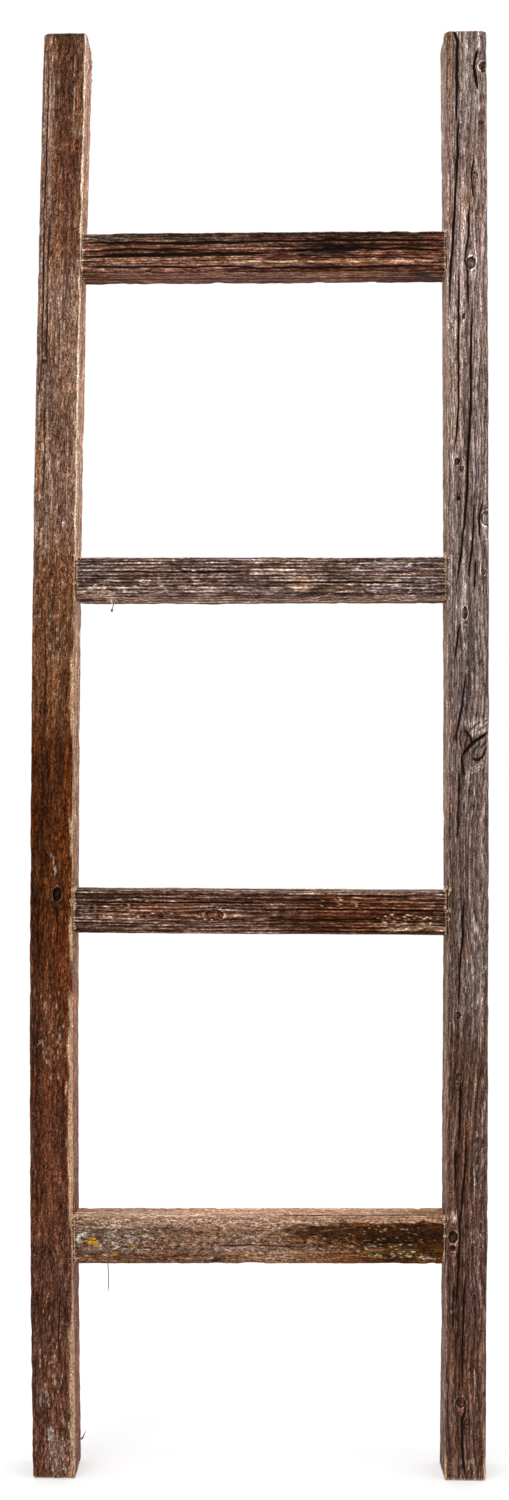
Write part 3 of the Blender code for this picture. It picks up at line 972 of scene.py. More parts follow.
def right_rail(width, depth, height, screws):
    """The greyer right rail, with its long cracks and its knots."""
    board = plain_board("right_rail", (width, depth, height), 29)
    board.update(
        screws=screws, screw_side=RIGHT, pith=(38, 95), pitch=2.7, contrast=0.85, relief=0.55,
        end_radius=3.0 * MM, sharp=1.1, wander=3.6, slope=0.006, spread=(2.1, 2.2, 2.3), hue=0.12,
        blotch=0.4,
        row_zones=[(766 * MM, 26 * MM, 1.7 * MM), (1500 * MM, 24 * MM, 2.0 * MM),
                   (256 * MM, 12 * MM, 1.8 * MM)],
    )
    board["colours"] = {
        FRONT: [
            (0, .130, .062, .041), (100, .124, .060, .039), (240, .115, .058, .041),
            (450, .118, .065, .046), (500, .155, .100, .080), (715, .170, .112, .092),
            (790, .200, .142, .125), (1000, .230, .165, .146), (1100, .250, .177, .155),
            (1300, .340, .236, .196), (1420, .250, .166, .140), (1524, .225, .152, .130),
        ],
        LEFT: [(0, .20, .115, .085), (700, .26, .16, .12), (1524, .33, .22, .175)],
        RIGHT: [(0, .13, .075, .055), (700, .17, .11, .088), (1524, .23, .155, .125)],
        BACK: [(0, .14, .08, .058), (800, .17, .11, .085), (1524, .22, .145, .115)],
    }
    board["worn"] = [
        ((-1, -1), 0, 1524, 1.2, 0.45, (.36, .23, .18)), ((-1, -1), 1040, 1290, 3.0, 0.5, (.44, .30, .24)),
        ((1, -1), 0, 1524, 0.9, 0.35, (.32, .25, .22)), ((1, 1), 0, 1524, 1.6, 0.5, TAN),
        ((-1, -1), 0, 26, 5, 0.8, TAN), ((1, -1), 0, 20, 4, 0.8, TAN), ((-1, 1), 0, 1524, 2.0, 0.5, TAN),
        ((-1, -1), 640, 830, 2.4, 0.6, (.36, .20, .14)),
    ]
    board["chips"] = [
        ((-1, -1), 1522, 10, 6), ((1, -1), 1523, 6, 3), ((-1, 1), 1523, 8, 4), ((-1, -1), 1126, 14, 2.2),
        ((1, 1), 700, 30, 2.5), ((1, -1), 470, 20, 1.5), ((-1, -1), 640, 20, 1.4),
    ]
    board["knots"] = [
        (FRONT, 18.6, 1485, 4.6, 4.6, "red"), (FRONT, 9, 1371, 2.6, 3.2, "pale"),
        (FRONT, 4.1, 1279, 4.4, 5.4, "dark"), (FRONT, -11.5, 1071, 2.6, 3.4, "hole"),
        (FRONT, 20, 1011, 5.6, 6.8, "pale"), (FRONT, 15.2, 1426, 1.8, 2.4, "dark"),
        (FRONT, -3.6, 1223, 1.8, 2.4, "dark"), (FRONT, -6.3, 1063, 2.2, 2.8, "dark"),
        (FRONT, -9.4, 1032, 2.0, 2.4, "hole"), (FRONT, 16, 955, 2.4, 3.0, "red"),
        (FRONT, -3.4, 911, 2.6, 5.6, "dark"), (FRONT, -10.4, 489, 2.8, 3.4, "dark"),
        (FRONT, -9, 424, 2.8, 3.6, "dark"), (FRONT, -14, 256, 4.2, 4.8, "hole"),
        (FRONT, -14.5, 244, 2.6, 3.0, "hole"), (FRONT, -4.7, 83, 3.8, 4.6, "dark"),
        (FRONT, 1.9, 62, 2.6, 3.2, "dark"),
    ]
    routes = [
        (2.7, [(-10.8, 1530), (-11.7, 1520), (-8.7, 1512), (-9.3, 1484), (-9.8, 1461), (-10.2, 1439),
               (-9.8, 1427)]),
        (2.4, [(-7.8, 1431), (-8.7, 1416), (-9.3, 1394), (-10.8, 1371), (-12.4, 1347), (-14.2, 1310),
               (-17, 1273), (-19.4, 1231)]),
        (3.6, [(12.3, 1503), (10, 1495), (8.2, 1485), (11.0, 1473), (12.2, 1461)]),
        (1.6, [(8, 1389), (4.8, 1373), (7.2, 1347)]),
        (1.8, [(3.5, 1350), (1.7, 1310), (-2.2, 1282), (0.9, 1270), (1.2, 1231)]),
        (2.0, [(-8, 1271), (-8.8, 1237), (-9.6, 1158), (-9.7, 1121), (-13.5, 1089), (-15.7, 1079)]),
        (2.4, [(5.5, 1245), (3.8, 1200), (3, 1137), (1.2, 1089), (-0.5, 1042), (-3.7, 1010), (-6.9, 979),
               (-11.7, 942), (-13.4, 926)]),
        (1.8, [(15.8, 1031), (12.1, 1016), (12, 991)]), (1.8, [(6.3, 1026), (4.6, 994), (0.9, 947)]),
        (1.4, [(8.3, 968), (7.2, 937)]), (1.6, [(-9.8, 900), (-13.5, 863)]),
        (1.8, [(-2.9, 847), (-6.6, 815), (-11.9, 784), (-12.4, 773)]),
        (2.4, [(22.8, 786), (10.2, 779), (-7.7, 761)]), (1.8, [(-9.3, 747), (-10.8, 694), (-11.3, 673)]),
        (2.0, [(-3.3, 613), (-6.5, 590), (-5, 575), (-8.4, 544), (-9.3, 500)]),
        (1.5, [(-7.5, 416), (-8.6, 370)]), (1.4, [(-6.9, 421), (-8.3, 357)]),
        (1.5, [(-11.8, 347), (-13.1, 305)]),
        (1.8, [(-1.3, 368), (-2.2, 326), (-7, 273), (-7.9, 242), (-11.2, 178)]),
        (1.5, [(-12.9, 207), (-14.3, 157)]), (1.6, [(-1.4, 215), (-3.6, 136), (-3.4, 99)]),
        (1.8, [(0.6, 78), (-3.6, 63), (-3.3, 36), (0.2, 5)]),
    ]
    routes += [
        (2.6, [(24, 786), (15.3, 782.5), (7.8, 778), (3.3, 775), (-1.2, 769), (-6.5, 762)]),
        (1.7, [(-6.5, 763), (-6.5, 755.5), (-5, 746.5), (-4.2, 740)]),
        (2.0, [(-3, 788), (2.5, 781), (3.6, 775)]),
        (2.2, [(20, 771), (15.3, 761.5), (10.8, 757), (3.3, 758.5)]),
        (1.0, [(22, 777), (16, 774), (12, 769)]), (0.9, [(12, 774), (8, 770), (5, 764)]),
        (1.1, [(-6.5, 790), (-8.4, 780), (-7.8, 768)]), (0.9, [(-1.8, 786), (-1.0, 778), (-3.4, 770)]),
        (1.0, [(14, 798), (8, 794), (3, 788)]), (0.8, [(22, 795), (16, 791), (10, 788)]),
        (0.8, [(20, 800), (14, 795)]),
    ]
    board["cracks"] = [(FRONT, wide, 0.7 + 0.5 * wide, route) for wide, route in routes]
    board["lines"] = [
        (FRONT, 1.5, (.55, .45, .38), [(23, 801 - 4 * k), (15, 799 - 4 * k), (8, 794 - 3 * k),
                                       (2, 786 - 2 * k)])
        for k in range(4)
    ]
    board["lines"] += [
        (FRONT, 1.3, (.42, .34, .29), [(23, 765 - 3 * k), (14, 754 - 3 * k), (2, 748 - 3 * k),
                                       (-2.7, 738 - 4 * k)])
        for k in range(3)
    ]
    board["lines"] += [
        (FRONT, 1.2, (.38, .29, .25), [(3, 735), (8, 716), (7, 700)]),
        (FRONT, 1.0, (.40, .33, .29), [(-19, 177), (-9, 179), (2, 184)]),
        (FRONT, 1.1, (.40, .31, .27), [(-6, 872), (-3.5, 880), (-1, 872), (-3.5, 869), (-6, 872)]),
        (FRONT, 1.2, (.42, .32, .27), [(-19, 1140), (-15, 1128), (-17, 1116), (-14, 1106)]),
        (FRONT, 1.0, (.42, .32, .27), [(-15, 1146), (-12, 1134), (-13, 1124)]),
    ]
    board["lines"] += [
        (FRONT, 1.1, (.40, .31, .27), [(c, a), (c + 1.0, a - reach / 2), (c + 0.4, a - reach)])
        for c, a, reach in ((4, 1500, 60), (-7, 1460, 50), (17, 1400, 44), (-2, 1330, 40), (13, 1250, 50),
                            (8, 1190, 60), (15, 1120, 44), (-16, 1010, 36), (10, 930, 40), (14, 680, 40),
                            (6, 600, 56), (12, 540, 34), (-14, 640, 30), (15, 400, 40), (7, 330, 36),
                            (14, 210, 50), (9, 120, 40), (-12, 90, 30))
    ]
    board["patches"] = [
        (FRONT, -4.2, 778, 4.6, 12, 0.4, 0.75, (.20, .115, .08)),
        (FRONT, 12, 794, 13, 7, 0.5, 0.8, (.46, .37, .31)),
        (FRONT, 13, 768, 9, 7, 0.4, 0.7, (.16, .13, .115)),
        (FRONT, 20, 779, 5, 3, 0.4, 0.7, (.15, .07, .055)),
        (FRONT, 9, 757.5, 5, 2.4, 0.4, 0.8, (.04, .03, .025)),
        (FRONT, -16, 1126, 4.2, 17, 0.9, 0.6, (.38, .27, .22)),
        (FRONT, -17, 1420, 5, 110, 0.8, 0.7, (.20, .105, .065)),
        (FRONT, -16, 1480, 4, 40, 0.8, 0.6, (.19, .10, .06)),
        (FRONT, 4, 1480, 12, 46, 0.7, 0.5, (.34, .28, .235)),
        (FRONT, -14, 277, 3.6, 6, 0.5, 0.7, (.36, .27, .22)),
        (FRONT, -7, 170, 5, 90, 0.9, 0.65, (.045, .018, .009)),
        (FRONT, 5, 140, 4, 60, 0.9, 0.5, (.05, .02, .01)),
        (FRONT, -10, 380, 5, 70, 0.9, 0.6, (.05, .02, .011)),
        (FRONT, 0, 330, 4, 60, 0.9, 0.5, (.16, .06, .03)),
        (FRONT, -14, 430, 5, 40, 0.8, 0.5, (.05, .02, .012)),
        (FRONT, -16, 240, 4, 40, 0.9, 0.6, (.045, .018, .009)),
        (FRONT, 14, 620, 6, 90, 0.8, 0.4, (.24, .17, .14)),
        (FRONT, -8, 1060, 6, 60, 0.9, 0.4, (.10, .06, .045)),
        (FRONT, -14, 850, 6, 60, 0.9, 0.5, (.10, .06, .045)),
        (FRONT, 4, 860, 9, 60, 0.9, 0.35, (.10, .07, .06)),
        (FRONT, -15, 600, 5, 90, 0.9, 0.5, (.09, .05, .035)),
        (FRONT, 10, 1180, 7, 70, 0.9, 0.4, (.33, .25, .22)),
        (FRONT, -12, 1400, 6, 90, 0.9, 0.35, (.33, .25, .22)),
        (FRONT, 12, 880, 7, 60, 0.9, 0.35, (.30, .23, .20)),
        (FRONT, 6, 550, 6, 50, 0.9, 0.3, (.28, .20, .17)),
    ]
    board["flakes"] = [
        (FRONT, 8, 530, 16, 80, 0.2, 1.9, (.36, .29, .25)),
        (FRONT, 12, 300, 12, 90, 0.2, 1.9, (.34, .26, .21)),
        (FRONT, -10, 1250, 12, 60, 0.2, 2.0, (.42, .32, .26)),
        (FRONT, 4, 12, 16, 16, 0.3, 2.2, (.38, .29, .23)),
    ]
    unseen_marks(board, (RIGHT, BACK), 18, 6, [along / MM for _, along in screws])
    unseen_marks(board, (LEFT,), 8, 3)
    return board


def plain_rung(name, size, seed):
    """What every rung has, before its own marks."""
    board = plain_board(name, size, seed)
    board.update(
        columns=(0.5 * MM, 1.1 * MM), row=1.9 * MM, end_radius=0.35 * MM, pith=(-90, 25), pitch=4.8,
        sharp=0.8, relief=0.9, wander=1.6, slope=0.0, end_colour=(0.45, 0.29, 0.18), fresh=1.5,
        arris={(-1, -1): 2.2 * MM, (1, -1): 2.0 * MM, (-1, 1): 2.2 * MM, (1, 1): 2.2 * MM},
    )
    return board


def top_rung(size):
    """The dark top rung, with its long grooves."""
    board = plain_rung("top_rung", size, 41)
    length = size[2] / MM
    board.update(pitch=5.5, relief=0.6, contrast=1.3, wander=1.2, spread=(2.3, 2.6, 2.9))
    board["colours"] = {
        FRONT: [(0, .150, .067, .043), (length, .130, .048, .026)],
        LEFT: [(0, .15, .06, .036), (120, .155, .066, .044), (335, .15, .065, .042),
               (length, .12, .05, .032)],
        RIGHT: [(0, .16, .09, .06), (length, .12, .07, .045)],
        BACK: [(0, .15, .08, .05), (length, .14, .075, .048)],
    }
    board["cracks"] = [
        (FRONT, 2.8, 2.0, [(9, 60), (10.5, 130), (12.5, 220), (13, 320), (12, length - 3)]),
        (FRONT, 2.2, 1.6, [(12, 2), (11, 60), (12, 120)]),
        (FRONT, 2.0, 1.2, [(3.4, 3), (4.5, 60), (4, 130)]),
        (FRONT, 3.0, 2.2, [(-2.8, 3), (-2, 70), (-0.6, 150), (-0.2, 200)]),
        (FRONT, 2.6, 2.0, [(2, 220), (4.5, 290), (3.5, 340), (2, length - 3)]),
        (FRONT, 2.0, 1.2, [(-13.2, 4), (-14.6, 90), (-14, 180)]),
        (FRONT, 2.3, 1.6, [(-16.0, 150), (-15.4, 240), (-14.6, 330), (-15, length - 4)]),
        (FRONT, 1.1, 1.2, [(7, 250), (7.6, 330), (6.4, length - 8)]),
        (FRONT, 1.0, 1.0, [(-6, 230), (-5.4, 300), (-6, 380)]),
    ]
    board["patches"] = [
        (FRONT, 18, 200, 3.6, 250, 0.7, 0.75, (.022, .018, .012)),
        (FRONT, 18, 18, 5, 28, 0.7, 0.5, (.13, .11, .09)),
        (FRONT, -9.5, 290, 1.9, 150, 0.7, 0.85, (.50, .28, .165)),
        (FRONT, -8.6, 90, 1.1, 110, 0.7, 0.6, (.34, .16, .09)),
        (FRONT, 2, 252, 7, 33, 0.7, 0.9, NEAR_BLACK), (FRONT, 6, 90, 2.0, 60, 0.9, 0.5, (.30, .13, .07)),
        (FRONT, 1.5, 330, 2.0, 44, 0.9, 0.45, (.28, .12, .065)),
        (FRONT, -6.5, 330, 1.6, 50, 0.9, 0.55, (.33, .16, .09)),
        (FRONT, 14, 110, 1.8, 60, 0.9, 0.5, (.20, .12, .075)),
        (LEFT, -16, 361, 8, 17, 0.5, 0.85, NEAR_BLACK), (LEFT, -14, 220, 8, 95, 0.9, 0.5, (.23, .13, .09)),
        (LEFT, -16, 9, 5, 7, 0.5, 0.85, (.10, .03, .008)), (FRONT, 0.5, 90, 1.6, 100, 0.9, 0.5, NEAR_BLACK),
        (FRONT, -12, 130, 1.5, 90, 0.9, 0.5, (.10, .07, .05)), (FRONT, 8, 260, 4, 40, 0.9, 0.5, NEAR_BLACK),
        (FRONT, 5, 360, 2.2, 40, 0.9, 0.5, (.05, .02, .01)),
    ]
    board["lines"] = [
        (FRONT, 0.9, (.50, .27, .15), [(-5.5, 5), (-5, 90), (-3.6, 180)]),
        (FRONT, 1.1, (.52, .31, .20), [(-11.6, 5), (-12.4, 90), (-11.8, 178)]),
        (FRONT, 0.8, (.46, .25, .14), [(8.5, 60), (9, 130), (8.5, 210)]),
        (FRONT, 0.9, (.50, .28, .16), [(-11, 180), (-9, 280), (-10, 385)]),
        (FRONT, 0.7, (.42, .22, .12), [(14, 230), (14.5, 320), (14, 386)]),
        (FRONT, 0.7, (.42, .22, .12), [(3, 290), (4, 385)]),
    ]
    board["worn"] = [((-1, -1), 0, length, 2.0, 0.4, (.30, .15, .09)), ((1, 1), 0, length, 2, 0.4, TAN)]
    unseen_marks(board, (RIGHT, BACK), 7, 2)
    return board


def upper_rung(size):
    """The grey upper rung, with raised grain."""
    board = plain_rung("upper_rung", size, 53)
    length = size[2] / MM
    board.update(pitch=3.5, relief=1.0, contrast=2.1, sharp=0.75, wander=0.9, mottle=1.2, uneven=0.2,
                 drawn=1.6, pith=(-110, 10), spread=(2.4, 2.7, 2.9))
    board["arris"] = {(-1, -1): 6.5 * MM, (1, -1): 1.8 * MM, (-1, 1): 2.2 * MM, (1, 1): 2.2 * MM}
    board["colours"] = {
        FRONT: [(0, .168, .105, .084), (length, .19, .12, .097)],
        LEFT: [(0, .238, .141, .102), (length, .25, .15, .11)],
        RIGHT: [(0, .17, .11, .088), (length, .18, .115, .092)],
        BACK: [(0, .17, .10, .078), (length, .16, .095, .072)],
    }
    board["patches"] = [
        (FRONT, 1, 234, 5, 8, 0.6, 0.8, (.36, .225, .155)),
        (FRONT, -6, 238, 7, 13, 0.6, 0.85, (.40, .25, .17)),
        (FRONT, 9, 214, 4, 6, 0.9, 0.7, (.38, .235, .155)),
        (FRONT, -17.6, 200, 0.7, 230, 0.5, 0.6, NEAR_BLACK), (FRONT, -20, 240, 2, 9, 0.8, 0.8, NEAR_BLACK),
        (FRONT, -19, 262, 1.6, 6, 0.8, 0.7, NEAR_BLACK), (FRONT, 15, 330, 4, 30, 1.1, 0.6, (.45, .35, .30)),
        (FRONT, -21, 196, 2.8, 420, 0.25, 0.8, (.27, .165, .12)),
    ]
    board["cracks"] = [(FRONT, 1.0, 2.0, [(8, 20), (7, 100), (8.5, 180)]),
                       (FRONT, 1.0, 2.0, [(-4, 200), (-3, 290), (-5, 380)])]
    board["worn"] = [((1, -1), 0, length, 1.6, 0.7, (.46, .40, .37)), ((1, 1), 0, length, 2.0, 0.4, ASH)]
    board["lines"] = [(FRONT, 1.1, (.50, .30, .17), [(-9, 1), (-10, 22), (-9.5, 44)]),
                      (FRONT, 1.1, (.50, .30, .17), [(-14, 1), (-14, 24)])]
    board["flakes"] = [
        (FRONT, 14, 320, 7, 60, 0.3, 1.8, (.44, .34, .29)),
        (FRONT, -8, 330, 10, 60, 0.3, 1.8, (.46, .36, .31)),
        (FRONT, -8, 60, 9, 70, 0.3, 1.8, (.42, .32, .26)),
        (FRONT, 6, 130, 12, 80, 0.2, 1.8, (.40, .30, .25)),
        (FRONT, -14, 22, 4, 24, 0.5, 2.0, (.44, .28, .17)),
    ]
    unseen_marks(board, (RIGHT, BACK, LEFT), 6, 2)
    return board


def lower_rung(size):
    """The browner lower rung, with raised grain and a knot."""
    board = plain_rung("lower_rung", size, 67)
    length = size[2] / MM
    board.update(pitch=3.7, relief=1.0, contrast=2.1, sharp=0.8, wander=1.2, mottle=1.2, uneven=0.25,
                 drawn=1.3, hue=0.1, pith=(-110, 10), spread=(2.5, 2.9, 3.3))
    board["colours"] = {
        FRONT: [(0, .128, .070, .050), (180, .124, .062, .042), (260, .105, .043, .023),
                (330, .101, .039, .020), (length, .115, .056, .036)],
        LEFT: [(0, .15, .075, .05), (length, .15, .075, .05)],
        RIGHT: [(0, .22, .13, .09), (length, .20, .12, .085)],
        BACK: [(0, .15, .08, .055), (length, .14, .075, .05)],
    }
    board["patches"] = [
        (FRONT, 1, 82, 8, 55, 0.8, 0.5, RUST), (FRONT, 0, 302, 14, 55, 0.8, 0.55, (.11, .026, .008)),
        (FRONT, -16, 372, 2.6, 22, 0.8, 0.8, (.45, .29, .19)),
        (FRONT, -18, 345, 1.6, 16, 0.8, 0.6, (.42, .27, .18)),
        (FRONT, 21, 196, 1.3, 230, 0.8, 0.7, (.40, .26, .19)),
    ]
    board["cracks"] = [
        (FRONT, 1.1, 2.4, [(10, 8), (9, 90), (11, 190)]),
        (FRONT, 1.1, 2.4, [(-8, 200), (-7, 300), (-9, length - 4)]),
        (FRONT, 1.0, 2.0, [(3, 230), (4, 320), (2, length - 10)]),
    ]
    board["knots"] = [(FRONT, -3, 149, 4.6, 8.0, "red")]
    board["lines"] = [
        (FRONT, 0.9, (.40, .27, .20), [(-3 + 5 * math.sin(k), 149 + 5 * math.cos(k)),
                                       (-3 + 11 * math.sin(k), 149 + 14 * math.cos(k))])
        for k in (0.5, 0.9, 1.3, 1.8, 2.3, 3.7, 4.2, 4.9, 5.5)
    ]
    board["flakes"] = [
        (FRONT, 0, 60, 20, 70, 0.2, 1.8, (.40, .26, .18)),
        (FRONT, -10, 350, 10, 40, 0.45, 1.9, (.46, .28, .18)),
        (FRONT, 8, 300, 12, 60, 0.2, 1.8, (.38, .22, .14)),
    ]
    board["worn"] = [((1, -1), 0, length, 1.4, 0.6, (.42, .30, .24))]
    unseen_marks(board, (RIGHT, BACK, LEFT), 6, 2)
    return board


def bottom_rung(size):
    """The thick bottom rung, with lichen and a pale sawn top."""
    board = plain_rung("bottom_rung", size, 83)
    length = size[2] / MM
    board.update(pitch=7.5, relief=0.35, contrast=0.35, sharp=1.0, wander=4.0, mottle=0.9, pith=(-120, 60),
                 drawn=0.4)
    board["arris"] = {(-1, -1): 2.6 * MM, (1, -1): 4.5 * MM, (-1, 1): 2.4 * MM, (1, 1): 2.4 * MM}
    board["colours"] = {
        FRONT: [(0, .165, .080, .042), (90, .205, .097, .054), (150, .26, .15, .10), (215, .255, .142, .09),
                (240, .19, .090, .045), (300, .11, .036, .010), (length, .09, .026, .005)],
        RIGHT: [(0, .53, .31, .20), (210, .56, .335, .225), (length, .51, .28, .17)],
        LEFT: [(0, .17, .09, .06), (length, .12, .055, .033)],
        BACK: [(0, .20, .11, .072), (length, .16, .08, .05)],
    }
    board["patches"] = [
        (FRONT, 2, 50, 20, 60, 0.9, 0.45, (.12, .08, .055)),
        (FRONT, 7, 320, 11, 90, 0.8, 0.85, (.032, .011, .003)),
        (FRONT, -4, 355, 18, 50, 0.9, 0.75, (.034, .012, .003)),
        (FRONT, 12, 240, 3.4, 30, 0.9, 0.6, (.06, .022, .006)),
        (FRONT, -4, 230, 3, 20, 1.2, 0.5, (.08, .035, .015)),
        (FRONT, 21, 300, 3.2, 130, 0.5, 0.8, (.43, .25, .155)),
        (FRONT, -22, 151, 3, 7, 0.4, 0.9, NEAR_BLACK),
        (RIGHT, -15, 300, 2.2, 85, 0.9, 0.85, (.06, .025, .012)), (FRONT, -13, 340, 5, 40, 0.9, 0.25, MOSS),
        (FRONT, 19, 120, 6, 140, 0.6, 0.75, (.46, .29, .20)),
    ]
    board["flakes"] = [
        (FRONT, 6, 46, 15, 62, 0.34, 2.3, (.38, .30, .24)),
        (FRONT, -6, 60, 15, 66, 0.28, 2.0, (.34, .25, .19)),
        (FRONT, -4, 190, 14, 120, 0.18, 1.7, (.34, .23, .17)),
        (FRONT, -8, 280, 12, 60, 0.20, 1.6, (.36, .22, .14)),
        (FRONT, 0, 330, 20, 62, 0.10, 1.6, (.36, .23, .13)),
        (FRONT, -16, 340, 4, 50, 0.30, 1.6, (.38, .26, .15)),
        (FRONT, 4, 9, 5, 4, 0.8, 2.0, (.60, .54, .48)), (FRONT, 0, 5, 4, 3.5, 0.8, 2.0, (.56, .48, .40)),
        (FRONT, -2, 20, 4.8, 6.4, 1.0, 5.0, ORANGE_LICHEN),
        (FRONT, 14, 42, 3, 8, 0.6, 1.8, (.52, .42, .34)),
        (FRONT, -9, 64, 4.4, 4.4, 0.55, 2.2, ORANGE_LICHEN),
        (FRONT, -16, 46, 4.4, 5.6, 0.55, 2.2, ORANGE_LICHEN),
        (FRONT, -5, 45, 5, 7, 0.5, 1.8, (.50, .42, .36)), (FRONT, -10, 52, 3, 5, 0.5, 1.8, (.46, .38, .32)),
        (FRONT, -4, 350, 2.6, 9, 0.5, 1.6, (.46, .36, .26)),
        (FRONT, -13, 352, 2.4, 12, 0.5, 1.6, (.48, .38, .28)),
        (FRONT, -19, 372, 2.4, 10, 0.5, 1.6, (.46, .38, .26)),
        (FRONT, -17, 346, 2, 4, 0.5, 2.0, ORANGE_LICHEN),
    ]
    board["chips"] = [((-1, -1), 151, 6, 3.5)]
    board["cracks"] = [
        (FRONT, 0.6, 0.8, [(-6, 150), (-5, 190), (-7, 240)]),
        (RIGHT, 1.3, 1.8, [(-17, 210), (-14.5, 270), (-17, 330), (-15, 388)]),
        (FRONT, 0.9, 1.2, [(-2, 296), (-3, 330), (-1, 366)]),
    ]
    unseen_marks(board, (BACK, LEFT), 6, 3)
    return board


def build_board(board, place, material):
    """Makes one board's piece in the place of its CAD node."""
    name = board["name"]
    points, face, faces = skin(board)
    placed, colours, surface = weather(board, points, face)
    mesh = make_mesh(name + "_skin", place(placed), faces, mirrored=name.endswith("rung"))
    set_attribute(mesh, "tint", "FLOAT_COLOR", "color",
                  np.column_stack([np.clip(colours, 0, 1), np.ones(len(colours))]))
    set_attribute(mesh, "crack", "FLOAT", "value", surface["crack"])
    set_attribute(mesh, "knot", "FLOAT", "value", surface["knot"])
    set_attribute(mesh, "ring", "FLOAT", "value", surface["ring"])
    grain = np.column_stack([surface["grain_across"], surface["grain_depth"], surface["along"]]) / MM
    set_attribute(mesh, "grain", "FLOAT_VECTOR", "vector", grain)
    made = finished_object(name + "_board", mesh, material)
    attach(made, "root")
    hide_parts(name)
    return made


def rail_place(spine, middle_y):
    """Stands a rail's points up along its bowed and leaning spine."""
    def place(points):
        return np.column_stack([spine(points[:, 2]) + points[:, 0], middle_y + points[:, 1], points[:, 2]])
    return place


def rung_place(ends, length, middle_y):
    """Lays a rung's points between its two end planes."""
    (low_start, low_slope, low_middle), (high_start, high_slope, high_middle) = ends

    def place(points):
        share = points[:, 2] / length
        z = low_middle + (high_middle - low_middle) * share + points[:, 0]
        low, high = low_start + low_slope * z, high_start + high_slope * z
        return np.column_stack([low + (high - low) * share, middle_y + points[:, 1], z])
    return place


# Screws

def screw_piece(name, material, turn):
    """A countersunk cross-recess screw in the place of its CAD node."""
    low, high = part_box(name)
    side = -1 if "left_screw" in name else 1
    middle = (low + high) / 2
    head_x = low.x if side < 0 else high.x
    length = high.x - low.x
    made = bmesh.new()
    head = [
        (0.55, 0.33), (0.9, 0.24), (0.975, 0.10), (1.0, 0.0), (1.0, -0.4), (0.93, -0.75), (0.52, -2.8),
        (0.50, -4.5),
    ]
    profile = [(share * HEAD_RADIUS, rise * MM) for share, rise in head]
    profile += [(SHANK_RADIUS, TIP_TAPER - length), (TIP_RADIUS, TIP_CLEARANCE - length)]
    rings = []
    for radius, rise in profile:
        ring = []
        for k in range(SCREW_SIDES):
            angle = 2 * math.pi * k / SCREW_SIDES
            ring.append(made.verts.new((rise, radius * math.cos(angle), radius * math.sin(angle))))
        rings.append(ring)
    for outer, inner in zip(rings[:-1], rings[1:], strict=True):
        for k in range(SCREW_SIDES):
            made.faces.new((outer[k], outer[(k + 1) % SCREW_SIDES], inner[(k + 1) % SCREW_SIDES], inner[k]))
    made.faces.new(rings[0][::-1])
    made.faces.new(rings[-1])
    bmesh.ops.recalc_face_normals(made, faces=made.faces)
    mesh = bpy.data.meshes.new(name + "_detailed")
    made.to_mesh(mesh)
    made.free()
    piece = finished_object(name + "_detail", mesh, material)
    cutter = cross_recess(name, turn)
    cut = piece.modifiers.new("recess", "BOOLEAN")
    cut.operation = "DIFFERENCE"
    cut.solver = "EXACT"
    cut.use_self = True
    cut.object = cutter
    flatten_modifiers(piece)
    bpy.data.objects.remove(cutter)
    flip = -1.0 if side < 0 else 1.0
    for vertex in piece.data.vertices:
        x, y, z = vertex.co
        vertex.co = (head_x - side * HEAD_SINK + flip * x, middle.y + flip * y, middle.z + z)
    piece.data.update()
    shade_by_angle(piece.data)
    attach(piece, "root")
    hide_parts(name)


def flatten_modifiers(piece):
    """Replaces an object's mesh with the shape its modifiers make."""
    graph = bpy.context.evaluated_depsgraph_get()
    mesh = bpy.data.meshes.new_from_object(piece.evaluated_get(graph))
    piece.modifiers.clear()
    piece.data = mesh


def shade_by_angle(mesh):
    """Smooth shading that keeps the sharper edges crisp."""
    mesh.polygons.foreach_set("use_smooth", np.ones(len(mesh.polygons), bool))
    mesh.set_sharp_from_angle(angle=math.radians(38))


def cross_recess(name, turn):
    """The tapering cross that a driver leaves room for in a screw's head."""
    made = bmesh.new()
    for arm in (0, 1):
        top, bottom = [], []
        for y, z in ((-1, -1), (1, -1), (1, 1), (-1, 1)):
            angle = turn + arm * math.pi / 2
            for ring, rise, reach, half in ((top, 0.8, 2.5, 0.62), (bottom, -1.9, 1.1, 0.36)):
                across, up = y * reach * MM, z * half * MM
                turned = (across * math.cos(angle) - up * math.sin(angle),
                          across * math.sin(angle) + up * math.cos(angle))
                ring.append(made.verts.new((rise * MM, *turned)))
        made.faces.new(top)
        made.faces.new(bottom[::-1])
        for k in range(4):
            made.faces.new((top[k], bottom[k], bottom[(k + 1) % 4], top[(k + 1) % 4]))
    bmesh.ops.recalc_face_normals(made, faces=made.faces)
    mesh = bpy.data.meshes.new(name + "_recess")
    made.to_mesh(mesh)
    made.free()
    cutter = bpy.data.objects.new(name + "_recess", mesh)
    bpy.context.scene.collection.objects.link(cutter)
    return cutter


# Splinters

def add_strand(made, path, widths, thickness):
    """A thin tapering strip swept along a path of points in metres, with its widths in millimetres."""
    rings = []
    spots = [Vector(spot) for spot in path]
    for k, (spot, width) in enumerate(zip(spots, widths, strict=True)):
        heading = (spots[min(k + 1, len(spots) - 1)] - spots[max(k - 1, 0)]).normalized()
        sideways = heading.cross(Vector((0.0, 1.0, 0.0)))
        sideways = sideways.normalized() if sideways.length > 0.05 else Vector((1.0, 0.0, 0.0))
        out = heading.cross(sideways).normalized()
        ring = []
        for j in range(STRAND_SIDES):
            angle = 2 * math.pi * j / STRAND_SIDES
            offset = sideways * (math.cos(angle) * width / 2 * MM)
            offset = offset + out * (math.sin(angle) * width * thickness * MM)
            ring.append(made.verts.new(spot + offset))
        rings.append(ring)
    for low, high in zip(rings[:-1], rings[1:], strict=True):
        for j in range(STRAND_SIDES):
            after = (j + 1) % STRAND_SIDES
            made.faces.new((low[j], low[after], high[after], high[j]))
    made.faces.new(rings[0][::-1])
    made.faces.new(rings[-1])


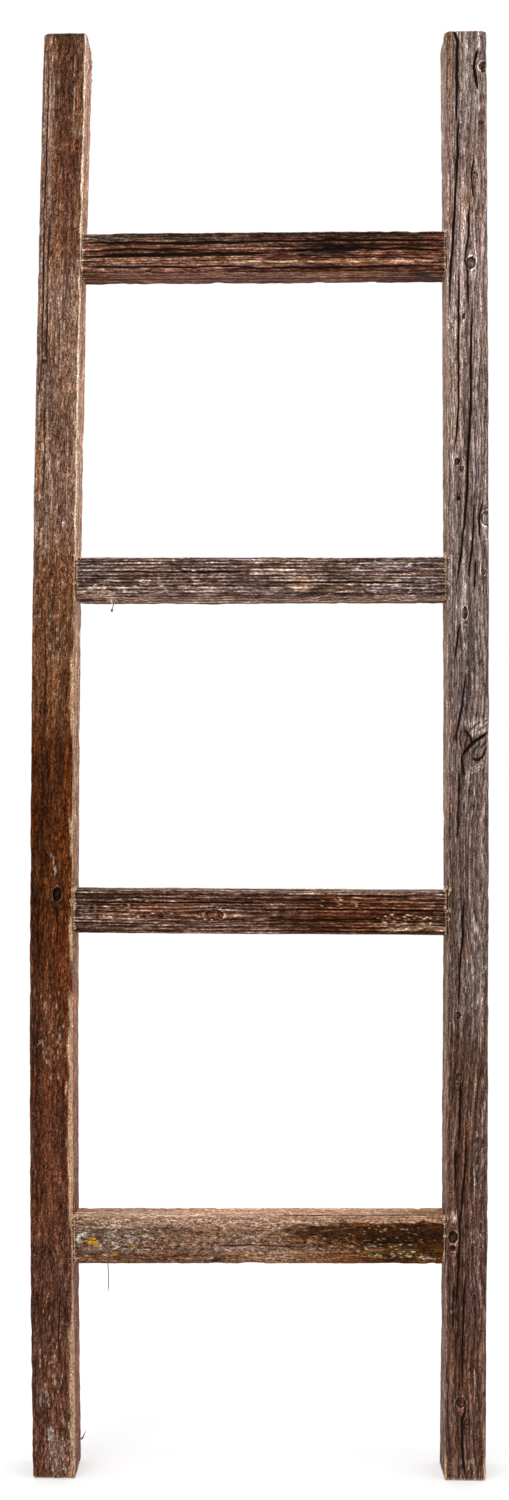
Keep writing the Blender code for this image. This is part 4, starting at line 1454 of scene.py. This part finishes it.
def fibre_piece(name, strands, material, thickness=0.35):
    """The splinters, shavings or fibres of one place as one piece, which rides the part."""
    made = bmesh.new()
    for path, widths in strands:
        add_strand(made, path, widths, thickness)
    bmesh.ops.recalc_face_normals(made, faces=made.faces)
    mesh = bpy.data.meshes.new(name)
    made.to_mesh(mesh)
    made.free()
    mesh.polygons.foreach_set("use_smooth", np.ones(len(mesh.polygons), bool))
    piece = finished_object(name, mesh, material)
    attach(piece, "root")


def tapering(width, share, count):
    """Widths from one end of a strand to the other, which lose this share of the first."""
    return [width * (1.0 - share * part) for part in np.linspace(0, 1, count)]


def curl(start, reach, turns, side):
    """A path that winds up like a shaving, leaning to one side."""
    path = []
    for k in range(13):
        part = k / 12
        angle = math.pi * (0.1 + turns * part)
        radius = reach * (1.0 - 0.55 * part)
        path.append((
            start[0] + side * radius * math.sin(angle) * 0.8,
            start[1] - 0.35 * reach * part,
            start[2] + radius * (1.0 - math.cos(angle)) * 0.6 + 0.25 * reach * part,
        ))
    return path


def joint_curls(chance, pale):
    """Shavings at both ends of each rung, more of them at its top corners."""
    for rung, reach in (("top_rung", 1.8), ("upper_rung", 3.8), ("lower_rung", 3.8), ("bottom_rung", 2.8)):
        low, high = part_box(rung)
        for side, x in ((-1, low.x), (1, high.x)):
            strands = []
            for k in range(14):
                top = k < 8
                z = high.z + chance.uniform(-3.0, 1.2) * MM if top else chance.uniform(low.z, high.z)
                inward = chance.uniform(-1.5, 4.0 if top else 1.0) * MM
                turns = chance.uniform(0.5, 1.3)
                way = side * chance.choice((-1, 1))
                path = curl((x - side * inward, low.y - 0.4 * MM, z), chance.uniform(0.6, 1.3) * reach * MM,
                            turns, way)
                strands.append((path, tapering(chance.uniform(0.8, 1.4), 0.8, len(path))))
            end = "left" if side < 0 else "right"
            fibre_piece(f"{rung}_{end}_curls", strands, pale)


def hanging_fibres(chance, pale, grey):
    """The tuft and thread under the upper rung, and the long fibre under the bottom rung."""
    low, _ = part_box("upper_rung")
    strands = []
    for _ in range(9):
        x = low.x + (38 + chance.uniform(-4, 4)) * MM
        drop = chance.uniform(3.0, 7.0) * MM
        lean = chance.uniform(-3.5, 3.5) * MM
        path = [
            (x + lean * part**2, low.y + 1.2 * MM, low.z + 1.5 * MM - drop * part)
            for part in np.linspace(0, 1, 7)
        ]
        strands.append((path, tapering(1.1, 0.8, len(path))))
    fibre_piece("upper_rung_tuft", strands, pale)
    x = low.x + 39 * MM
    path = [
        (x + math.sin(part * 5) * 0.9 * MM, low.y + 1.4 * MM, low.z + (1 - 13 * part) * MM)
        for part in np.linspace(0, 1, 11)
    ]
    fibre_piece("upper_rung_thread", [(path, [0.9] * 8 + [2.0, 2.4, 0.9])], grey, 0.5)
    low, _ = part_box("bottom_rung")
    x = low.x + 36 * MM
    path = [
        (x + 0.9 * MM * math.sin(part * 2.6), low.y + 2.0 * MM, low.z + (1.5 - 31 * part) * MM)
        for part in np.linspace(0, 1, 13)
    ]
    fibre_piece("bottom_rung_fibre", [(path, [0.95] * 11 + [0.8, 0.5])], grey, 0.5)


def rail_splinters(chance, torn):
    """The torn edge at the left rail's top, the loops beside the bottom rung and the splinter at the foot."""
    low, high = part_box("left_rail")
    corners = corners_of("left_rail")
    inner = corners[corners[:, 2] > high.z - 5 * MM, 0].max()
    strands = []
    for _ in range(14):
        start = (inner - chance.uniform(2.0, 4.5) * MM, high.y - 4 * MM, high.z - chance.uniform(10, 40) * MM)
        path = curl(start, chance.uniform(2.0, 5.0) * MM, chance.uniform(0.3, 0.9), 1)
        strands.append((path, tapering(1.4, 0.8, len(path))))
    fibre_piece("left_rail_tuft", strands, torn)
    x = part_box("bottom_rung")[0].x
    strands = []
    for z, reach, way in ((222, 5.0, 1), (214, 3.4, -1), (230, 2.6, 1)):
        path = curl((x - 3.0 * MM, low.y - 0.5 * MM, z * MM), reach * MM, 1.5, way)
        strands.append((path, tapering(1.0, 0.6, len(path))))
    fibre_piece("left_rail_curls", strands, torn)
    path = [
        (x + (2.0 + 5.0 * part) * MM, high.y - 6 * MM, (24 + 9 * part * part) * MM)
        for part in np.linspace(0, 1, 7)
    ]
    fibre_piece("left_rail_foot_splinter", [(path, tapering(2.6, 0.85, len(path)))], torn)


def loose_fibres():
    """The splinters, shavings and hanging fibres that cling to the boards."""
    pale = fibre_material("fresh fibre", (0.42, 0.20, 0.10), (0.85, 0.60, 0.42))
    grey = fibre_material("grey fibre", (0.03, 0.025, 0.02), (0.10, 0.085, 0.07))
    torn = fibre_material("torn fibre", (0.12, 0.045, 0.025), (0.46, 0.22, 0.13))
    chance = np.random.default_rng(17)
    joint_curls(chance, pale)
    hanging_fibres(chance, pale, grey)
    rail_splinters(chance, torn)


# Put together

def build_rails(wood):
    """Both rails, each on its CAD solid's own spine."""
    for name, side, shape in (("left_rail", "left", left_rail), ("right_rail", "right", right_rail)):
        spine, width = rail_spine(name)
        low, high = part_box(name)
        names = [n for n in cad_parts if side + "_screw" in n]
        middle_y = (low.y + high.y) / 2
        screws = [(depth - middle_y, along) for depth, along in screw_spots(names)]
        board = shape(width + RAIL_SWELL, high.y - low.y, high.z - low.z, screws)
        build_board(board, rail_place(spine, middle_y), wood[name])


def build_rungs(wood):
    """The four rungs, each between its CAD solid's own ends."""
    shapes = {"top_rung": top_rung, "upper_rung": upper_rung, "lower_rung": lower_rung,
              "bottom_rung": bottom_rung}
    for name, shape in shapes.items():
        ends = rung_ends(name)
        low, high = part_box(name)
        tilt = abs(ends[1][2] - ends[0][2])
        start = ends[0][0] + ends[0][1] * ends[0][2]
        length = ends[1][0] + ends[1][1] * ends[1][2] - start
        board = shape((high.z - low.z - tilt + RUNG_SWELL, high.y - low.y, length))
        build_board(board, rung_place(ends, length, (low.y + high.y) / 2), wood[name])


def build_screws():
    """Every screw, with its recess turned its own way."""
    steel = steel_material("weathered screw steel")
    chance = np.random.default_rng(5)
    for name in [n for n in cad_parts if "_screw_" in n]:
        screw_piece(name, steel, chance.uniform(0.0, math.pi / 2))


# Studio

def studio():
    """A white room: pale paper that glows a little, to lighten its shadows, under two soft lights."""
    scene = bpy.context.scene
    scene.view_settings.view_transform = "Standard"
    world = bpy.data.worlds.new("studio")
    world.use_nodes = True
    world.node_tree.nodes["Background"].inputs["Color"].default_value = (1.0, 1.0, 1.0, 1.0)
    world.node_tree.nodes["Background"].inputs["Strength"].default_value = WORLD_STRENGTH
    scene.world = world
    mesh = bpy.data.meshes.new("floor")
    reach = FLOOR_REACH
    mesh.from_pydata([(-reach, -reach, 0), (reach, -reach, 0), (reach, reach, 0), (-reach, reach, 0)], [],
                     [(0, 1, 2, 3)])
    paper = bpy.data.materials.new("studio paper")
    paper.use_nodes = True
    shader = paper.node_tree.nodes["Principled BSDF"]
    shader.inputs["Base Color"].default_value = (PAPER_GREY, PAPER_GREY, PAPER_GREY, 1.0)
    shader.inputs["Emission Color"].default_value = (1.0, 1.0, 1.0, 1.0)
    shader.inputs["Emission Strength"].default_value = PAPER_GLOW
    shader.inputs["Roughness"].default_value = 1.0
    shader.inputs["Specular IOR Level"].default_value = 0.0
    finished_object("floor", mesh, paper)
    soft_light("key", (-1.2, -2.4, 2.9), 1.6, 18.0)
    soft_light("top", (0.3, -0.3, 3.2), 1.4, 12.0)


def soft_light(name, place, size, watts):
    """A round soft lamp that looks at the ladder's middle."""
    lamp = bpy.data.lights.new(name, "AREA")
    lamp.shape = "DISK"
    lamp.size = size
    lamp.energy = watts
    holder = bpy.data.objects.new(name, lamp)
    holder.location = place
    holder.rotation_euler = (Vector((0.0, 0.0, 0.8)) - Vector(place)).to_track_quat("-Z", "Y").to_euler()
    bpy.context.scene.collection.objects.link(holder)


def camera():
    """The photo's view: level, a little right of the middle, and turned to look at the ladder's middle."""
    low, _ = cad_box
    distance, sideways, height = 2.1, 0.033, 0.736
    lens = bpy.data.cameras.new("camera")
    lens.sensor_width = 36.0
    lens.lens = 47.95
    lens.shift_x = -0.003
    lens.shift_y = 0.020
    holder = bpy.data.objects.new("camera", lens)
    holder.location = (sideways, low.y - distance, height)
    holder.rotation_euler = (math.pi / 2, 0.0, math.atan2(sideways, distance))
    bpy.context.scene.collection.objects.link(holder)
    bpy.context.scene.camera = holder


wood = {name: wood_material(name.replace("_", " ") + " wood", look) for name, look in LOOKS.items()}
build_rails(wood)
build_rungs(wood)
build_screws()
loose_fibres()
studio()
camera()
